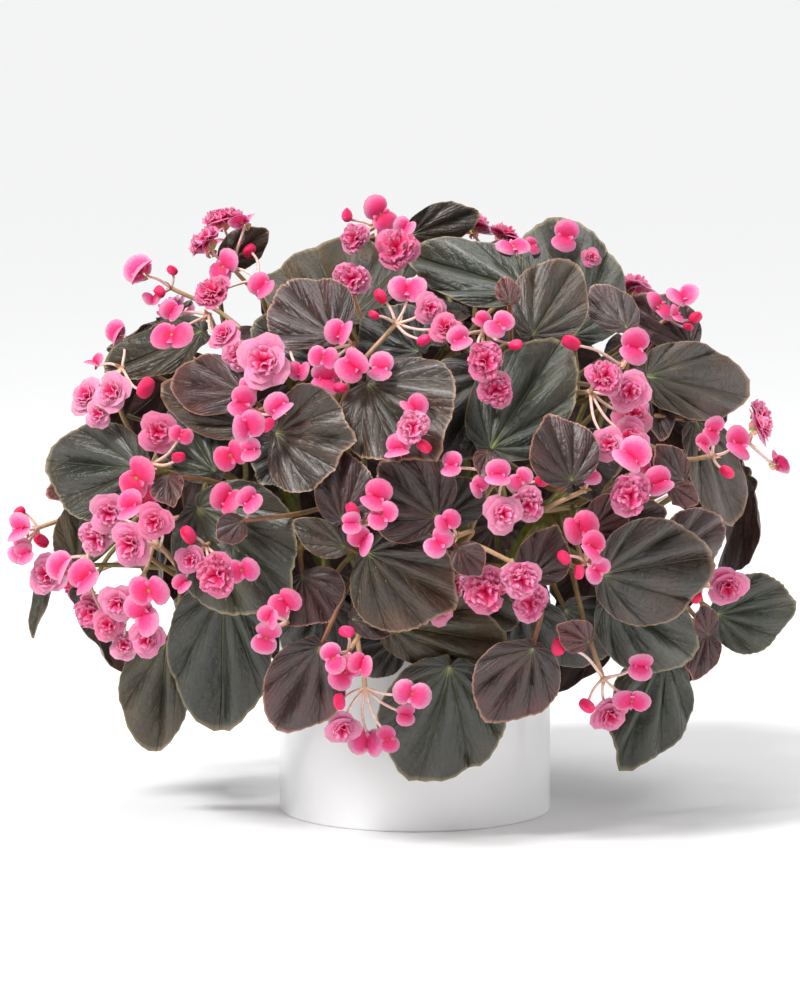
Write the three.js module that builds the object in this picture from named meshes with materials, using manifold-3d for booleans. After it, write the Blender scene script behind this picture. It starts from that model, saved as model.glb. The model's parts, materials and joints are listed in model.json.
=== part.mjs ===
// A double-flowered wax begonia in a plain white pot, in millimetres, +Z up.
// The origin is the middle of the pot's underside, and the side seen in the photograph faces -Y.
// The plant is a dome of bronze leaves on branching stems, with sprays of pink flowers outside it.
import * as THREE from "three";
import { mergeVertices } from "three/addons/utils/BufferGeometryUtils.js";
import Module from "manifold-3d";

const wasm = await Module();
wasm.setup();

// Driving dimensions
const POT = { radius: 80, height: 125, wall: 4, floor: 6, edge: 1.5, sides: 32 };
const DRAIN = { count: 4, radius: 6, fromAxis: 42, sides: 6 };
const SOIL = { top: 110, crown: 4, rings: 0, sides: 18 };
const DOME = { middle: new THREE.Vector3(-6, 0, 178), wide: 212, deep: 192, up: 166, down: 166 };
const STEM = { count: 9, baseRadius: 4.6, forkRadius: 3.6, sides: 4, depth: 26, middleAbove: 0.76 };
const SHOOT = { count: 27, tipRadius: 2.2, sides: 3, inset: 62 };
const PETIOLE = { radius: 1.3, steps: 2, joints: 6 };
const PEDUNCLE = { radius: 1.3, hubRadius: 1.7, steps: 2, joints: 12 };
const PEDICEL = { radius: 0.8 };
const BLADE = { thick: 0.8, spread: 152, longest: 1.12 };
const RIM_POINTS = { large: 11, small: 9, hidden: 7, smallWidth: 36 };

// Room that the pieces keep: between solids, round a stalk, to the pot and its rim, between leaves and flowers
const GAP = 0.35;
const STALK_ROOM = 2.3;
const SEAT_STEP = 0.2;
const POT_CLEARANCE = 3;
const RIM_ROOM = 14;
const LEAF_CLEARANCE = 3;
const FLOWER_CLEARANCE = 2;
const HUB_INSET = 12;
const HUB_ROOM = 4;
const JOINT_ROOM = 4;
const JOINT_SPACING = 9;
const SLIDE = 3;

// The photograph's view: where the camera stands, and the photograph's frame in pixels
const VIEW = { distance: 3000, elevation: 7, targetX: -8.8, targetZ: 183.5 };
const FRAME = { middleU: 400, middleV: 500, pixelsPerMm: 272 / 160 };

// Leaves seen in the photograph: base and tip are places in its frame, width is in millimetres.
// A higher layer lies deeper, near is how far the tip leans out, and roll turns the leaf on its midrib.
const LEAVES = [
  { base: [168, 476], tip: [171, 501], width: 20, layer: -1, tone: "young" },
  { base: [242, 521], tip: [219, 538], width: 18, layer: -1, tone: "young" },
  { base: [459, 548], tip: [479, 573], width: 20, layer: -1, tone: "young" },
  { base: [487, 452], tip: [482, 472], width: 13, layer: -1, tone: "young" },
  { base: [683, 480], tip: [662, 449], width: 21, layer: -1, tone: "young" },
  { base: [671, 484], tip: [699, 501], width: 16, layer: -1, tone: "young" },
  { base: [589, 642], tip: [562, 628], width: 20, layer: -1, tone: "young" },
  { base: [510, 303], tip: [505, 278], width: 15, layer: -1, tone: "young" },
  { base: [707, 634], tip: [706, 609], width: 16, layer: -1, tone: "young" },
  { base: [572, 481], tip: [553, 419], width: 40, layer: -1, tone: "purple" },
  { base: [138, 469], tip: [51, 462], width: 58, layer: 0, near: -10, tone: "grey" },
  { base: [243, 393], tip: [170, 377], width: 36, layer: 0, near: -8, tone: "purple" },
  { base: [333, 335], tip: [290, 285], width: 52, layer: 0, near: 12, tone: "purple" },
  { base: [276, 433], tip: [343, 436], width: 62, layer: 0, near: 8, tone: "bronze" },
  { base: [368, 384], tip: [430, 448], width: 70, layer: 0, near: 6, tone: "bronze" },
  { base: [342, 520], tip: [341, 456], width: 34, layer: 0, tone: "purple" },
  { base: [438, 517], tip: [388, 470], width: 54, layer: 0, near: 10, tone: "purple" },
  { base: [534, 334], tip: [572, 268], width: 46, layer: 0, near: 6, tone: "bronze" },
  { base: [627, 328], tip: [598, 283], width: 29, layer: 0, tone: "purple" },
  { base: [650, 375], tip: [748, 385], width: 48, layer: 0, near: -14, tone: "bronze" },
  { base: [603, 574], tip: [706, 563], width: 62, layer: 0, near: -4, tone: "bronze" },
  { base: [368, 553], tip: [447, 603], width: 62, layer: 0, near: 6, tone: "bronze" },
  { base: [352, 620], tip: [399, 624], width: 22, layer: 0, tone: "purple" },
  { base: [320, 647], tip: [281, 729], width: 46, layer: 0, tone: "purple" },
  { base: [533, 648], tip: [492, 719], width: 49, layer: 0, tone: "purple" },
  { base: [491, 448], tip: [560, 346], width: 56, layer: 1, near: 8, tone: "green" },
  { base: [198, 508], tip: [279, 598], width: 76, layer: 1, near: -4, tone: "green" },
  { base: [302, 577], tip: [326, 619], width: 46, layer: 1, tone: "purple" },
  { base: [386, 624], tip: [498, 644], width: 46, layer: 1, near: 4, tone: "olive" },
  { base: [530, 577], tip: [556, 532], width: 31, layer: 1, tone: "purple" },
  { base: [592, 530], tip: [626, 500], width: 25, layer: 1, tone: "young" },
  { base: [612, 520], tip: [664, 512], width: 22, layer: 1, near: 6, tone: "purple" },
  { base: [668, 560], tip: [724, 528], width: 40, layer: 1, tone: "purple" },
  { base: [655, 374], tip: [668, 431], width: 27, layer: 1, tone: "purple" },
  { base: [697, 420], tip: [747, 517], width: 38, layer: 1, near: -8, tone: "bronze" },
  { base: [717, 614], tip: [796, 614], width: 50, layer: 1, near: -12, tone: "green" },
  { base: [708, 631], tip: [701, 677], width: 27, layer: 1, tone: "young" },
  { base: [612, 598], tip: [692, 655], width: 52, layer: 1, tone: "green" },
  { base: [526, 292], tip: [415, 247], width: 46, layer: 1, near: 10, tone: "green" },
  { base: [250, 425], tip: [163, 386], width: 30, layer: 1, tone: "bronze" },
  { base: [345, 547], tip: [297, 524], width: 20, layer: 1, tone: "bronze" },
  { base: [200, 330], tip: [112, 364], width: 36, layer: 1, near: -10, tone: "olive" },
  { base: [110, 478], tip: [47, 490], width: 20, layer: 1, near: -8, tone: "young" },
  { base: [215, 472], tip: [172, 402], width: 44, layer: 2, tone: "green" },
  { base: [450, 668], tip: [416, 780], width: 72, layer: 0, near: -4, tone: "green" },
  { base: [222, 592], tip: [217, 722], width: 62, layer: 2, tone: "green" },
  { base: [166, 642], tip: [148, 748], width: 44, layer: 2, tone: "olive" },
  { base: [664, 655], tip: [631, 762], width: 57, layer: 2, tone: "green" },
  { base: [452, 598], tip: [516, 624], width: 30, layer: 2, tone: "olive" },
  { base: [345, 318], tip: [318, 236], width: 82, layer: 2, near: -14, tone: "olive" },
  { base: [575, 335], tip: [562, 220], width: 76, layer: 2, near: -14, tone: "green" },
  { base: [412, 235], tip: [474, 217], width: 26, layer: 2, roll: 55, tone: "bronze" },
  { base: [224, 264], tip: [265, 234], width: 24, layer: 2, roll: 60, tone: "bronze" },
  { base: [76, 566], tip: [79, 503], width: 26, layer: 2, roll: 35, tone: "olive" },
  { base: [57, 566], tip: [23, 627], width: 22, layer: 2, roll: 35, tone: "olive" },
  { base: [690, 348], tip: [640, 297], width: 38, layer: 2, tone: "purple" },
  { base: [418, 352], tip: [366, 312], width: 44, layer: 2, tone: "dark" },
  { base: [322, 362], tip: [256, 321], width: 38, layer: 2, tone: "dark" },
  { base: [500, 372], tip: [446, 448], width: 66, layer: 2, tone: "dark" },
  { base: [446, 516], tip: [482, 486], width: 28, layer: 2, tone: "dark" },
  { base: [322, 596], tip: [294, 664], width: 46, layer: 3, tone: "dark" },
  { base: [398, 640], tip: [344, 662], width: 40, layer: 3, tone: "dark" },
  { base: [520, 604], tip: [520, 668], width: 56, layer: 3, tone: "dark" },
  { base: [420, 250], tip: [352, 262], width: 44, layer: 3, tone: "dark" },
  { base: [300, 440], tip: [262, 478], width: 50, layer: 3, tone: "dark" },
  { base: [566, 440], tip: [596, 494], width: 48, layer: 3, tone: "dark" },
  { base: [566, 610], tip: [600, 668], width: 50, layer: 3, tone: "dark" },
];

// Flowers seen in the photograph: a place in its frame, and the flower's width in millimetres.
const double = (u, v, width) => ({ kind: "double", at: [u, v], width });
const single = (u, v, width) => ({ kind: "single", at: [u, v], width });
const bud = (u, v, width) => ({ kind: "bud", at: [u, v], width });

// Sprays seen in the photograph: hub is where the pedicels meet.
const SPRAYS = [
  {
    hub: [171, 288],
    flowers: [
      single(143, 273, 20), bud(172, 270, 8), bud(160, 292, 9), single(152, 300, 11),
    ],
  },
  {
    hub: [209, 315],
    flowers: [
      single(174, 313, 14), single(172, 336, 20), double(224, 334, 25), double(238, 356, 16),
    ],
  },
  {
    hub: [258, 279],
    flowers: [
      single(264, 288, 16), bud(249, 251, 10), single(224, 267, 18), double(212, 291, 21),
    ],
  },
  { hub: [293, 333], flowers: [double(264, 362, 28), single(300, 372, 12), single(252, 384, 14)] },
  {
    hub: [376, 226],
    flowers: [
      single(380, 209, 19), bud(347, 215, 10), double(354, 238, 17), double(397, 247, 24),
      single(406, 229, 13),
    ],
  },
  { hub: [352, 290], flowers: [double(351, 279, 20)] },
  {
    hub: [396, 324],
    flowers: [
      single(408, 290, 18), bud(380, 296, 10), bud(374, 315, 7), double(430, 308, 17),
      double(445, 326, 18), bud(424, 340, 9),
    ],
  },
  {
    hub: [352, 345],
    flowers: [
      single(342, 334, 16), single(324, 358, 14), single(325, 379, 18), single(354, 366, 18),
      single(381, 370, 16), bud(340, 388, 9),
    ],
  },
  {
    hub: [483, 331],
    flowers: [
      single(480, 322, 11), single(499, 325, 15), single(460, 341, 14), double(485, 361, 21),
      double(496, 390, 19), bud(516, 345, 9),
    ],
  },
  {
    hub: [534, 266],
    flowers: [
      single(513, 247, 16), single(532, 246, 10), single(563, 240, 22), double(588, 268, 14),
    ],
  },
  {
    hub: [668, 319],
    flowers: [
      single(683, 297, 17), single(659, 307, 16), single(674, 316, 10), bud(696, 317, 10),
      bud(688, 327, 7),
    ],
  },
  { hub: [622, 366], flowers: [single(633, 349, 19), bud(571, 342, 12)] },
  {
    hub: [590, 392],
    flowers: [
      double(604, 377, 21), double(628, 392, 22), double(634, 414, 22), double(629, 438, 22),
      double(608, 444, 18),
    ],
  },
  {
    hub: [712, 456],
    flowers: [
      single(712, 430, 14), single(702, 446, 12), single(737, 445, 18), bud(727, 472, 10),
    ],
  },
  {
    hub: [628, 476],
    flowers: [
      single(627, 459, 21), double(630, 495, 23), single(650, 470, 13), single(659, 485, 17),
    ],
  },
  { hub: [585, 490], flowers: [single(589, 473, 16)] },
  {
    hub: [503, 480],
    flowers: [
      single(452, 466, 13), single(477, 487, 12), single(497, 476, 15), single(520, 479, 12),
      bud(545, 478, 13), double(503, 514, 21), double(528, 505, 19),
    ],
  },
  {
    hub: [586, 562],
    flowers: [
      single(579, 528, 18), single(590, 549, 17), single(597, 570, 13), bud(579, 572, 9),
      bud(564, 558, 10),
    ],
  },
  { hub: [512, 562], flowers: [double(485, 591, 25), double(521, 580, 21), double(530, 603, 20)] },
  { hub: [457, 536], flowers: [single(446, 522, 13), single(439, 543, 17)] },
  { hub: [452, 562], deep: 1, flowers: [double(452, 586, 18), double(438, 612, 15)] },
  {
    hub: [362, 525],
    flowers: [
      single(376, 499, 18), single(383, 517, 14), single(365, 541, 16), single(351, 524, 12),
      bud(352, 510, 10),
    ],
  },
  {
    hub: [404, 440],
    flowers: [
      single(412, 409, 15), double(413, 427, 18), single(398, 452, 17), bud(424, 446, 10),
    ],
  },
  { hub: [286, 622], flowers: [single(284, 603, 17), single(273, 616, 13), single(266, 637, 17)] },
  {
    hub: [348, 652],
    flowers: [
      bud(347, 632, 10), single(333, 658, 14), single(345, 672, 17), single(363, 664, 14),
    ],
  },
  {
    hub: [365, 688],
    flowers: [
      double(342, 728, 24), single(368, 742, 18), single(388, 739, 13), bud(339, 702, 11),
      single(412, 694, 17), single(405, 715, 12),
    ],
  },
  {
    hub: [603, 678],
    flowers: [
      single(640, 666, 15), single(631, 700, 17), double(610, 716, 21), bud(587, 706, 11),
      bud(559, 647, 12),
    ],
  },
  { hub: [700, 586], flowers: [double(728, 588, 23), bud(697, 596, 10)] },
  {
    hub: [255, 412],
    flowers: [
      single(242, 404, 16), single(246, 427, 18), single(281, 410, 16), single(231, 455, 17),
      single(252, 450, 13), bud(268, 425, 10),
    ],
  },
  { hub: [240, 527], flowers: [single(227, 500, 17), single(250, 500, 14)] },
  {
    hub: [206, 546],
    flowers: [
      bud(188, 535, 12), double(190, 560, 16), double(217, 575, 23), single(242, 570, 16),
      single(183, 586, 11),
    ],
  },
  {
    hub: [122, 368],
    flowers: [
      single(120, 335, 16), single(95, 364, 15), double(86, 395, 23), double(112, 392, 21),
      bud(145, 388, 14), double(98, 414, 15),
    ],
  },
  {
    hub: [152, 464],
    flowers: [
      double(157, 432, 21), single(181, 435, 11), bud(178, 457, 9), single(139, 478, 21),
      single(146, 499, 16),
    ],
  },
  {
    hub: [160, 546],
    flowers: [
      double(108, 514, 21), single(134, 509, 21), double(156, 522, 20), double(95, 539, 19),
      double(130, 545, 24),
    ],
  },
  {
    hub: [144, 574],
    flowers: [
      single(150, 590, 20), double(117, 604, 21), single(145, 614, 21), double(146, 640, 20),
      double(124, 645, 16),
    ],
  },
  {
    hub: [88, 556],
    flowers: [
      double(47, 574, 23), single(66, 570, 20), single(88, 580, 21), double(90, 613, 21),
      double(108, 624, 18),
    ],
  },
  {
    hub: [38, 528],
    flowers: [
      single(13, 530, 17), single(14, 550, 14), single(27, 554, 12), bud(19, 512, 9), bud(40, 541, 11),
    ],
  },
];

// Leaves and sprays that the photograph doesn't show: round the back, over the top and inside
const BACK_LEAVES = { rule: 120, lowest: -0.62, room: 34, insets: [6, 26], smallest: 64, largest: 84 };
const INNER_LEAVES = { rule: 30, lowest: -0.5, room: 22, insets: [36, 48], smallest: 50, largest: 68 };
const FRONT_EDGE = -0.36;
const DEEPEST = 100;
const BACK_SPRAYS = { count: 10, flowers: 3, spread: 17, inset: -8 };

const UP = new THREE.Vector3(0, 0, 1);
const rad = THREE.MathUtils.degToRad;
const along = (from, direction, distance) => from.clone().addScaledVector(direction, distance);

// Park and Miller's generator, so that the plant grows the same way each time
let seed = 4711;
function random(low = 0, high = 1) {
  seed = (seed * 16807) % 2147483647;
  return low + ((high - low) * seed) / 2147483647;
}

// The camera of the photograph, and the line of sight through a place in its frame
const toViewer = new THREE.Vector3(0, -Math.cos(rad(VIEW.elevation)), Math.sin(rad(VIEW.elevation)));
const camera = along(new THREE.Vector3(VIEW.targetX, 0, VIEW.targetZ), toViewer, VIEW.distance);
function lineOfSight([u, v]) {
  const upwards = new THREE.Vector3(0, Math.sin(rad(VIEW.elevation)), Math.cos(rad(VIEW.elevation)));
  const focal = VIEW.distance * FRAME.pixelsPerMm;
  return toViewer
    .clone()
    .negate()
    .addScaledVector(new THREE.Vector3(1, 0, 0), (u - FRAME.middleU) / focal)
    .addScaledVector(upwards, (FRAME.middleV - v) / focal)
    .normalize();
}

// The dome of foliage: two half ellipsoids, less an inset
function domeRadii(inset, lower) {
  return new THREE.Vector3(DOME.wide - inset, DOME.deep - inset, (lower ? DOME.down : DOME.up) - inset);
}
function onDome(place, inset) {
  const sight = lineOfSight(place);
  for (const lower of [false, true]) {
    const radii = domeRadii(inset, lower);
    const from = camera.clone().sub(DOME.middle).divide(radii);
    const way = sight.clone().divide(radii);
    const a = way.dot(way);
    const b = from.dot(way);
    const root = b * b - a * (from.dot(from) - 1);
    const hit = along(camera, sight, (-b - Math.sqrt(Math.max(root, 0))) / a);
    if (lower || hit.z >= DOME.middle.z) return hit;
  }
}
function domeTowards(direction, inset) {
  const radii = domeRadii(inset, direction.z < 0);
  const reach = 1 / direction.clone().divide(radii).length();
  return along(DOME.middle, direction, reach);
}
function domeNormal(point) {
  const radii = domeRadii(0, point.z < DOME.middle.z);
  return point.clone().sub(DOME.middle).divide(radii).divide(radii).normalize();
}

// A leaf blade in its own frame: along the midrib from the base, across it, and face, its upper side
function leafForm() {
  return {
    skew: random(-0.12, 0.12),
    cup: random(-0.1, 0.14),
    arch: random(0.04, 0.16),
    wave: random(0.01, 0.03),
    phase: random(0, 2 * Math.PI),
  };
}
function leafOn(base, tip, face, width, roll, form) {
  const midrib = tip.clone().sub(base);
  const length = midrib.length();
  midrib.normalize();
  const upper = face.clone().addScaledVector(midrib, -face.dot(midrib)).normalize();
  upper.applyAxisAngle(midrib, rad(roll));
  return {
    base: base.clone(),
    midrib,
    upper,
    across: upper.clone().cross(midrib),
    length,
    width,
    ...form,
  };
}

// Distance from the base to the rim, at an angle from the midrib: an oval with a point and a notch
function rimDistance(leaf, angle) {
  const middle = 0.44 * leaf.length;
  const half = 0.53 * leaf.length;
  const side = (leaf.width / 2) * (1 + leaf.skew * Math.sign(angle));
  const c = Math.cos(angle);
  const s = Math.sin(angle);
  const a = (c * c) / half ** 2 + (s * s) / side ** 2;
  const b = (middle * c) / half ** 2;
  const round = (b + Math.sqrt(b * b - a * ((middle / half) ** 2 - 1))) / a;
  const point = 1 + 0.07 * Math.exp(-((angle / 0.2) ** 2));
  const notch = Math.min(1, (Math.PI - Math.abs(angle)) / 0.45);
  return round * point * notch;
}

// Height of the blade over its flat frame, at an angle and a share of the way to the rim
function bladeHeight(leaf, angle, share) {
  const reach = share * rimDistance(leaf, angle);
  const forwards = (reach * Math.cos(angle)) / leaf.length;
  const sideways = (reach * Math.sin(angle)) / (leaf.width / 2);
  const curve = leaf.cup * 0.5 * leaf.width * sideways ** 2 - leaf.arch * leaf.length * forwards ** 2;
  return curve + leaf.wave * leaf.length * share ** 3 * Math.sin(5 * angle + leaf.phase);
}
function bladePoint(leaf, angle, share, lift = 0) {
  const reach = share * rimDistance(leaf, angle);
  return leaf.base
    .clone()
    .addScaledVector(leaf.midrib, reach * Math.cos(angle))
    .addScaledVector(leaf.across, reach * Math.sin(angle))
    .addScaledVector(leaf.upper, bladeHeight(leaf, angle, share) + lift);
}

// Points all over a blade, by which leaves keep clear of each other
const SAMPLE_ANGLES = Array.from({ length: 13 }, (_, i) => rad(-150 + 25 * i));
function bladeSamples(leaf) {
  const points = [leaf.base.clone()];
  for (const angle of SAMPLE_ANGLES)
    for (const share of [0.35, 0.7, 1]) points.push(bladePoint(leaf, angle, share));
  return points;
}

// How far a point is above a blade, or null where it is beside it
function heightOver(leaf, point, margin) {
  const offset = point.clone().sub(leaf.base);
  const forwards = offset.dot(leaf.midrib);
  const sideways = offset.dot(leaf.across);
  const angle = Math.atan2(sideways, forwards);
  const rim = rimDistance(leaf, angle);
  const reach = Math.hypot(forwards, sideways);
  if (reach > rim + margin) return null;
  return offset.dot(leaf.upper) - bladeHeight(leaf, angle, Math.min(1, reach / Math.max(rim, 1)));
}
const centreOf = (leaf) => along(leaf.base, leaf.midrib, 0.44 * leaf.length);
const reachOf = (leaf) => 0.5 * Math.max(leaf.length, leaf.width) + 6;

// How near a point may come to the pot's wall, its mouth and the soil in it
function isInPot(point, margin) {
  const fromAxis = Math.hypot(point.x, point.y);
  if (fromAxis > POT.radius + margin) return false;
  return point.z < (fromAxis < POT.radius - POT.wall - margin ? SOIL.top + SOIL.crown : POT.height) + margin;
}
const clearOfPot = (leaf) => bladeSamples(leaf).every((p) => !isInPot(p, POT_CLEARANCE));

// True where the new leaf lies wholly behind the placed one, or beside it
function isBehind(leaf, placed) {
  if (centreOf(leaf).distanceTo(centreOf(placed)) > reachOf(leaf) + reachOf(placed)) return true;
  const own = bladeSamples(leaf).map((p) => heightOver(placed, p, 2));
  if (own.some((h) => h !== null && h > -LEAF_CLEARANCE)) return false;
  const other = bladeSamples(placed).map((p) => heightOver(leaf, p, 2));
  return !other.some((h) => h !== null && h < LEAF_CLEARANCE);
}
function isApart(leaf, placed) {
  if (centreOf(leaf).distanceTo(centreOf(placed)) > reachOf(leaf) + reachOf(placed)) return true;
  const one = bladeSamples(leaf).map((p) => heightOver(placed, p, 2)).filter((h) => h !== null);
  const two = bladeSamples(placed).map((p) => heightOver(leaf, p, 2)).filter((h) => h !== null);
  const sameSide = (heights) =>
    heights.every((h) => h > LEAF_CLEARANCE) || heights.every((h) => h < -LEAF_CLEARANCE);
  return sameSide(one) && sameSide(two);
}

// Turns a leaf towards the viewer about its middle, where it would be too long for its width
function foreshorten(from, to, width) {
  const span = to.clone().sub(from);
  const depth = span.dot(toViewer);
  const seen = Math.sqrt(Math.max(0, span.lengthSq() - depth ** 2));
  const most = Math.sqrt(Math.max(0, (BLADE.longest * Math.max(width, seen)) ** 2 - seen ** 2));
  const turn = THREE.MathUtils.clamp(depth, -most, most) - depth;
  from.addScaledVector(toViewer, -turn / 2);
  to.addScaledVector(toViewer, turn / 2);
}

// Leaves of the photograph, front ones first: each slides back along the line of sight until it is clear
function seenLeaves() {
  const placed = [];
  const inOrder = [...LEAVES].sort((a, b) => a.layer - b.layer);
  for (const { base, tip, width, layer, near = 0, roll = 0, tone } of inOrder) {
    const inset = 10 * layer;
    const from = onDome(base, inset + 6);
    const to = along(onDome(tip, inset), toViewer, near);
    foreshorten(from, to, width);
    while (isInPot(to, RIM_ROOM)) to.addScaledVector(toViewer, SLIDE);
    const outwards = domeNormal(from.clone().lerp(to, 0.5));
    const face = toViewer.clone().multiplyScalar(0.62).addScaledVector(outwards, 0.5).normalize();
    const leaf = { ...leafOn(from, to, face, width, roll, leafForm()), tone };
    for (let step = 0; step < 30 && !placed.every((other) => isBehind(leaf, other)); step++)
      leaf.base.addScaledVector(toViewer, -SLIDE);
    while (!clearOfPot(leaf)) leaf.base.addScaledVector(toViewer, SLIDE);
    placed.push(leaf);
  }
  return placed;
}

// Leaves that the photograph doesn't show, on an even spiral over the dome, wherever there is room
const GOLDEN = Math.PI * (3 - Math.sqrt(5));
function spiral(i, count, lowest) {
  const z = 0.97 - ((0.97 - lowest) * (i + 0.5)) / count;
  const flat = Math.sqrt(1 - z * z);
  return new THREE.Vector3(flat * Math.cos(GOLDEN * i), flat * Math.sin(GOLDEN * i), z);
}

// Flowers: each starts near the dome and moves out until it is clear of the leaves and of other sprays
function isFlowerOff(leaf, { centre, facing, radius }) {
  if (centreOf(leaf).distanceTo(centre) > reachOf(leaf) + radius + 4) return true;
  const points = [centre, along(centre, facing, -0.55 * radius)];
  const sideways = facing.clone().cross(UP).normalize();
  for (let i = 0; i < 6; i++)
    points.push(along(centre, sideways.clone().applyAxisAngle(facing, (i * Math.PI) / 3), radius));
  const heights = points.map((p) => heightOver(leaf, p, FLOWER_CLEARANCE)).filter((h) => h !== null);
  if (!heights.every((h) => h > FLOWER_CLEARANCE) && !heights.every((h) => h < -FLOWER_CLEARANCE)) return false;
  return bladeSamples(leaf).every((p) => p.distanceTo(centre) > 0.85 * radius);
}
const fromPedicel = (hub, flower, point) =>
  new THREE.Line3(hub, flower.centre).closestPointToPoint(point, true, new THREE.Vector3()).distanceTo(point);
function isClear(flower, spray, leaves, sprays) {
  const { centre, radius } = flower;
  const { hub, flowers } = spray;
  if (isInPot(centre, 0.8 * radius + POT_CLEARANCE)) return false;
  if (centre.distanceTo(hub) < radius + HUB_ROOM) return false;
  if (!leaves.every((leaf) => isFlowerOff(leaf, flower))) return false;
  const isFree = (f) => f === flower || f.centre.distanceTo(centre) > 0.95 * (f.radius + radius);
  if (!sprays.every((other) => other.flowers.every(isFree))) return false;
  return flowers.every(
    (f) =>
      f === flower ||
      (fromPedicel(hub, f, centre) > radius + 1 && fromPedicel(hub, flower, f.centre) > f.radius + 1),
  );
}
function settleFlower(flower, way, spray, leaves, sprays) {
  const start = flower.centre.clone();
  for (let attempt = 0; attempt < 4; attempt++) {
    for (let step = 0; step < 26; step++) {
      const lift = (step % 3 === 2 ? -0.5 : 1) * 1.1 * step;
      flower.centre = along(start, way, lift);
      if (isClear(flower, spray, leaves, sprays)) return;
    }
    flower.radius *= 0.86;
  }
}
function makeFlower(kind, width, centre, outwards, towards) {
  const facing = outwards.clone().multiplyScalar(0.45).addScaledVector(towards, 0.7);
  facing.add(new THREE.Vector3(random(-0.4, 0.4), random(-0.25, 0.25), random(-0.45, 0.35)));
  return { kind, radius: width / 2, centre, facing: facing.normalize(), turn: random(0, Math.PI) };
}
function seenSprays(leaves) {
  const sprays = [];
  for (const { hub, flowers, deep = 0 } of SPRAYS) {
    const spray = { hub: onDome(hub, HUB_INSET + 20 * deep), flowers: [] };
    sprays.push(spray);
    const fromHub = ({ at }) => Math.hypot(at[0] - hub[0], at[1] - hub[1]);
    for (const { kind, at, width } of [...flowers].sort((a, b) => fromHub(b) - fromHub(a))) {
      const centre = onDome(at, deep ? 26 : 0);
      const flower = makeFlower(kind, width, centre, domeNormal(centre), toViewer);
      spray.flowers.push(flower);
      settleFlower(flower, toViewer, spray, leaves, sprays);
    }
  }
  return sprays;
}
function backSprays(leaves, sprays) {
  for (let i = 0; i < BACK_SPRAYS.count; i++) {
    const share = (i + 0.5) / BACK_SPRAYS.count;
    const azimuth = rad(-8 + 196 * ((i * 0.618 + 0.31) % 1));
    const rise = rad(68 - 86 * share);
    const direction = new THREE.Vector3(
      Math.cos(rise) * Math.cos(azimuth),
      Math.cos(rise) * Math.sin(azimuth),
      Math.sin(rise),
    );
    const place = domeTowards(direction, BACK_SPRAYS.inset);
    const outwards = domeNormal(place);
    const sideways = outwards.clone().cross(new THREE.Vector3(0.2, 0.1, 1)).normalize();
    const spray = { hub: along(place, outwards, -HUB_INSET), flowers: [] };
    sprays.push(spray);
    const count = BACK_SPRAYS.flowers + (i % 3);
    for (let j = 0; j < count; j++) {
      const kind = j % 5 === 4 ? "bud" : (i + j) % 2 ? "single" : "double";
      const width = { double: 22, single: 17, bud: 10 }[kind] * random(0.9, 1.12);
      const spoke = sideways.clone().applyAxisAngle(outwards, (2 * Math.PI * j) / count + i);
      const centre = along(place, spoke, BACK_SPRAYS.spread * random(0.55, 1.2));
      const flower = makeFlower(kind, width, centre, outwards, outwards);
      spray.flowers.push(flower);
      settleFlower(flower, outwards, spray, leaves, sprays);
    }
  }
  return sprays;
}

// Stems: nine grow from the soil, and each forks into shoots that reach towards the dome
function makeStems() {
  const stems = [];
  for (let i = 0; i < STEM.count; i++) {
    const low = i % 2 === 1;
    const azimuth = (2 * Math.PI * i) / (STEM.count - 1) + 0.3;
    const rise = i === STEM.count - 1 ? rad(88) : rad(low ? 12 : 48);
    const heading = new THREE.Vector3(
      Math.cos(rise) * Math.cos(azimuth),
      Math.cos(rise) * Math.sin(azimuth),
      Math.sin(rise),
    );
    const flat = new THREE.Vector3(heading.x, heading.y, 0);
    const root = along(new THREE.Vector3(0, 0, SOIL.top - STEM.depth), flat, low ? 44 : 26);
    const fork = along(new THREE.Vector3(-3, 0, 152), heading, low ? 78 : 62);
    const rising = along(along(root, UP, STEM.depth + 18), flat, 5);
    stems.push({ heading, line: bezier(root, rising, fork, 4), shoots: [], leaves: [] });
  }
  for (let i = 0; i < SHOOT.count; i++) {
    const direction = spiral(i, SHOOT.count, -0.3);
    const around = stems.slice(0, -1);
    const nearest =
      direction.z > STEM.middleAbove
        ? stems[STEM.count - 1]
        : around.reduce((a, b) => (b.heading.dot(direction) > a.heading.dot(direction) ? b : a));
    const fork = nearest.line[nearest.line.length - 1];
    const end = domeTowards(direction, SHOOT.inset);
    const bend = fork.clone().lerp(end, 0.5).addScaledVector(UP, 8);
    nearest.shoots.push(bezier(fork, bend, end, 3));
  }
  return stems;
}
function bezier(from, bend, to, steps) {
  return new THREE.QuadraticBezierCurve3(from, bend, to).getPoints(steps);
}

// How often a stalk crosses a blade, and how much it gets in the way: it may not touch the pot or another stalk
function crossesBlade(points, radius, leaf, isOwn = false) {
  const reach = reachOf(leaf) + 4;
  let count = 0;
  let before = null;
  for (const point of points) {
    const near = centreOf(leaf).distanceTo(point) < reach;
    const atBase = isOwn && leaf.base.distanceTo(point) < 7;
    const height = near && !atBase ? heightOver(leaf, point, radius + 1) : null;
    const crossed = before !== null && height !== null && before * height < 0;
    if (crossed || (height !== null && Math.abs(height) < radius + 1.2)) count += 1;
    before = height;
  }
  return count;
}
function crossings(points, radius, obstacles, own) {
  let count = 50 * points.filter((p) => isInPot(p, radius + 1)).length;
  for (const { line, radius: other } of obstacles.stalks)
    for (const point of points)
      if (line.some((p) => p.distanceTo(point) < radius + other + 1.2)) count += 20;
  for (const spray of obstacles.sprays)
    for (const flower of spray === own ? [] : spray.flowers)
      for (const point of points)
        if (flower.centre.distanceTo(point) < flower.radius * 0.9 + radius + 0.5) count += 3;
  for (const leaf of obstacles.leaves) count += crossesBlade(points, radius, leaf, leaf === own);
  return count;
}

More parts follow.
